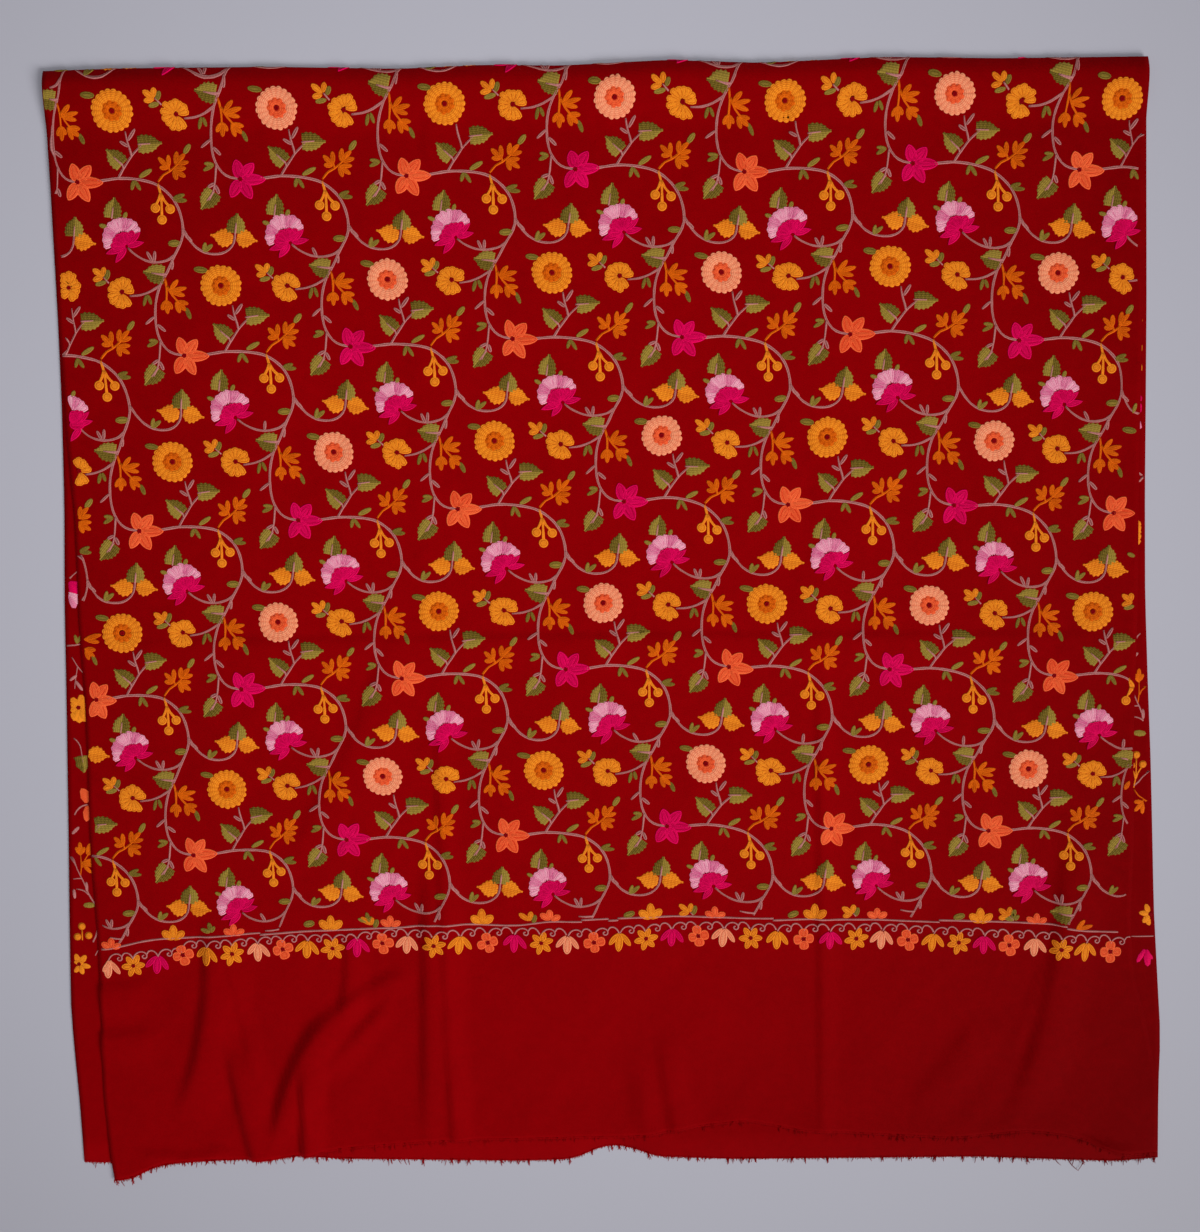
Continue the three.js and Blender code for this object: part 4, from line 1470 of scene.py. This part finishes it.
# Dark and light tone of the wool, and of each thread.
WOOL = ((0.17, 0.0, 0.0008), (0.34, 0.0, 0.002))
THREADS = {
    "amber_thread": ((0.42, 0.036, 0.001), (1.0, 0.302, 0.018)),
    "orange_thread": ((0.27, 0.014, 0.0005), (0.88, 0.155, 0.005)),
    "peach_thread": ((0.70, 0.07, 0.025), (1.0, 0.37, 0.19)),
    "coral_thread": ((0.60, 0.008, 0.002), (1.0, 0.150, 0.044)),
    "magenta_thread": ((0.28, 0.0, 0.012), (0.86, 0.003, 0.108)),
    "pink_thread": ((0.62, 0.04, 0.19), (0.98, 0.44, 0.54)),
    "olive_thread": ((0.046, 0.030, 0.002), (0.37, 0.245, 0.040)),
    "mauve_thread": ((0.14, 0.018, 0.015), (0.60, 0.235, 0.22)),
    "wine_thread": ((0.16, 0.0, 0.002), (0.34, 0.004, 0.008)),
}
# The thread of each stitched piece.
PIECE_THREADS = {
    "vines": "mauve_thread",
    "leaves": "olive_thread",
    "coral_stars": "coral_thread",
    "magenta_stars": "magenta_thread",
    "gold_rosettes": "amber_thread",
    "gold_hearts": "orange_thread",
    "peach_rosettes": "peach_thread",
    "coral_hearts": "coral_thread",
    "carnation_fans": "pink_thread",
    "carnation_petals": "magenta_thread",
    "half_daisies": "amber_thread",
    "gold_leaves": "amber_thread",
    "sprigs": "orange_thread",
    "berries": "amber_thread",
    "border_scrolls": "mauve_thread",
    "border_daisies": "amber_thread",
    "border_rounds": "coral_thread",
    "peach_tulips": "peach_thread",
    "magenta_tulips": "magenta_thread",
    "amber_tulips": "amber_thread",
    "eyes": "wine_thread",
}


def make_stitching(name, thread):
    """One piece of stitching, laid on the cloth."""
    laid = np.concatenate(thread.shapes)
    return mesh_object(name, on_cloth(*laid[:, :3].T), thread.faces, laid[:, 3:5], laid[:, 5])


# ---- Stage ----

LIT_PLACE = (0.0, 0.07, 0)
FLOOR_SIZE, UNDER_CLOTH = 8, 0.0002
FLOOR_COLOUR, FLOOR_ROUGHNESS = (0.485, 0.48, 0.545, 1), 0.6
VIEW_DISTANCE = 1.566
VIEW_TILT = math.radians(7.12)
VIEW_ROLL = math.radians(1.1)
VIEW_TARGET = (-0.008, 0.0215, 0)
SENSOR = 36
FOCAL_SHARE = 1.3888  # focal length as a share of the sensor


def make_floor():
    bpy.ops.mesh.primitive_plane_add(size=FLOOR_SIZE, location=(0, 0, -UNDER_CLOTH))
    floor = bpy.context.object
    floor.name = "floor"
    material, shader = new_material("pale_floor")
    shader["Base Color"].default_value = FLOOR_COLOUR
    shader["Roughness"].default_value = FLOOR_ROUGHNESS
    floor.data.materials.append(material)


def make_light(name, kind, place, power, colour):
    light = bpy.data.lights.new(name, kind)
    light.energy = power
    light.color = colour
    made = in_scene(name, light)
    made.location = place
    made.rotation_euler = (Vector(LIT_PLACE) - made.location).to_track_quat("-Z", "Y").to_euler()
    return light


def light_the_stage():
    window = make_light("window_light", "SUN", (3.3, -3.7, 3.4), 2.3, (1.0, 0.99, 0.98))
    window.angle = math.radians(30)
    lamp = make_light("lamp", "SPOT", (-0.03, 0.22, 2.6), 107, (0.98, 0.98, 1.0))
    lamp.spot_size = math.radians(52)
    lamp.spot_blend = 1.0
    lamp.shadow_soft_size = 0.35
    world = bpy.data.worlds.new("room")
    world.use_nodes = True
    sky = world.node_tree.nodes["Background"].inputs
    sky["Color"].default_value = (0.93, 0.95, 1.0, 1)
    sky["Strength"].default_value = 0.13
    bpy.context.scene.world = world
    bpy.context.scene.view_settings.view_transform = "Standard"


def make_camera():
    data = bpy.data.cameras.new("camera")
    data.sensor_width = SENSOR
    data.lens = FOCAL_SHARE * SENSOR
    made = in_scene("camera", data)
    ahead = Vector((math.sin(VIEW_ROLL), math.cos(VIEW_ROLL), 0))
    back = ahead * math.sin(VIEW_TILT) + Vector((0, 0, math.cos(VIEW_TILT)))
    up = ahead * math.cos(VIEW_TILT) - Vector((0, 0, math.sin(VIEW_TILT)))
    place = Vector(VIEW_TARGET) + back * VIEW_DISTANCE
    turned = Matrix((up.cross(back), up, back)).transposed()
    made.matrix_world = Matrix.Translation(place) @ turned.to_4x4()
    bpy.context.scene.camera = made


# ---- The whole shawl ----

make_camera()
make_floor()
light_the_stage()

chain_stitch = chain_stitch_group()
wool = fabric_material(
    "crimson_wool", wool_weave_group(), *WOOL,
    roughness=0.8, sheen=0.12, tint=(0.9, 0.02, 0.03), specular=0.12, bump=0.4,
)
stitch_materials = {
    slot: fabric_material(
        slot, chain_stitch, dark, light,
        roughness=0.6, sheen=0.08, tint=light, specular=0.2, bump=0.7,
    )
    for slot, (dark, light) in THREADS.items()
}

cloth = make_cloth()
cloth.data.materials.append(wool)
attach(cloth, "root")
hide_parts("lower_layer", "fold", "upper_layer")

stitch_upper_field()
stitch_lower_field()
stitch_border()
for name, slot in PIECE_THREADS.items():
    stitched = make_stitching(name, threads[name])
    stitched.data.materials.append(stitch_materials[slot])
    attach(stitched, "root")

for name, node, upper, seed in (
    ("upper_fringe", "upper_frayed_end", True, 51),
    ("lower_fringe", "lower_frayed_end", False, 52),
):
    fringe = make_fringe(name, upper, seed)
    fringe.data.materials.append(wool)
    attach(fringe, "root")
    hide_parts(node)
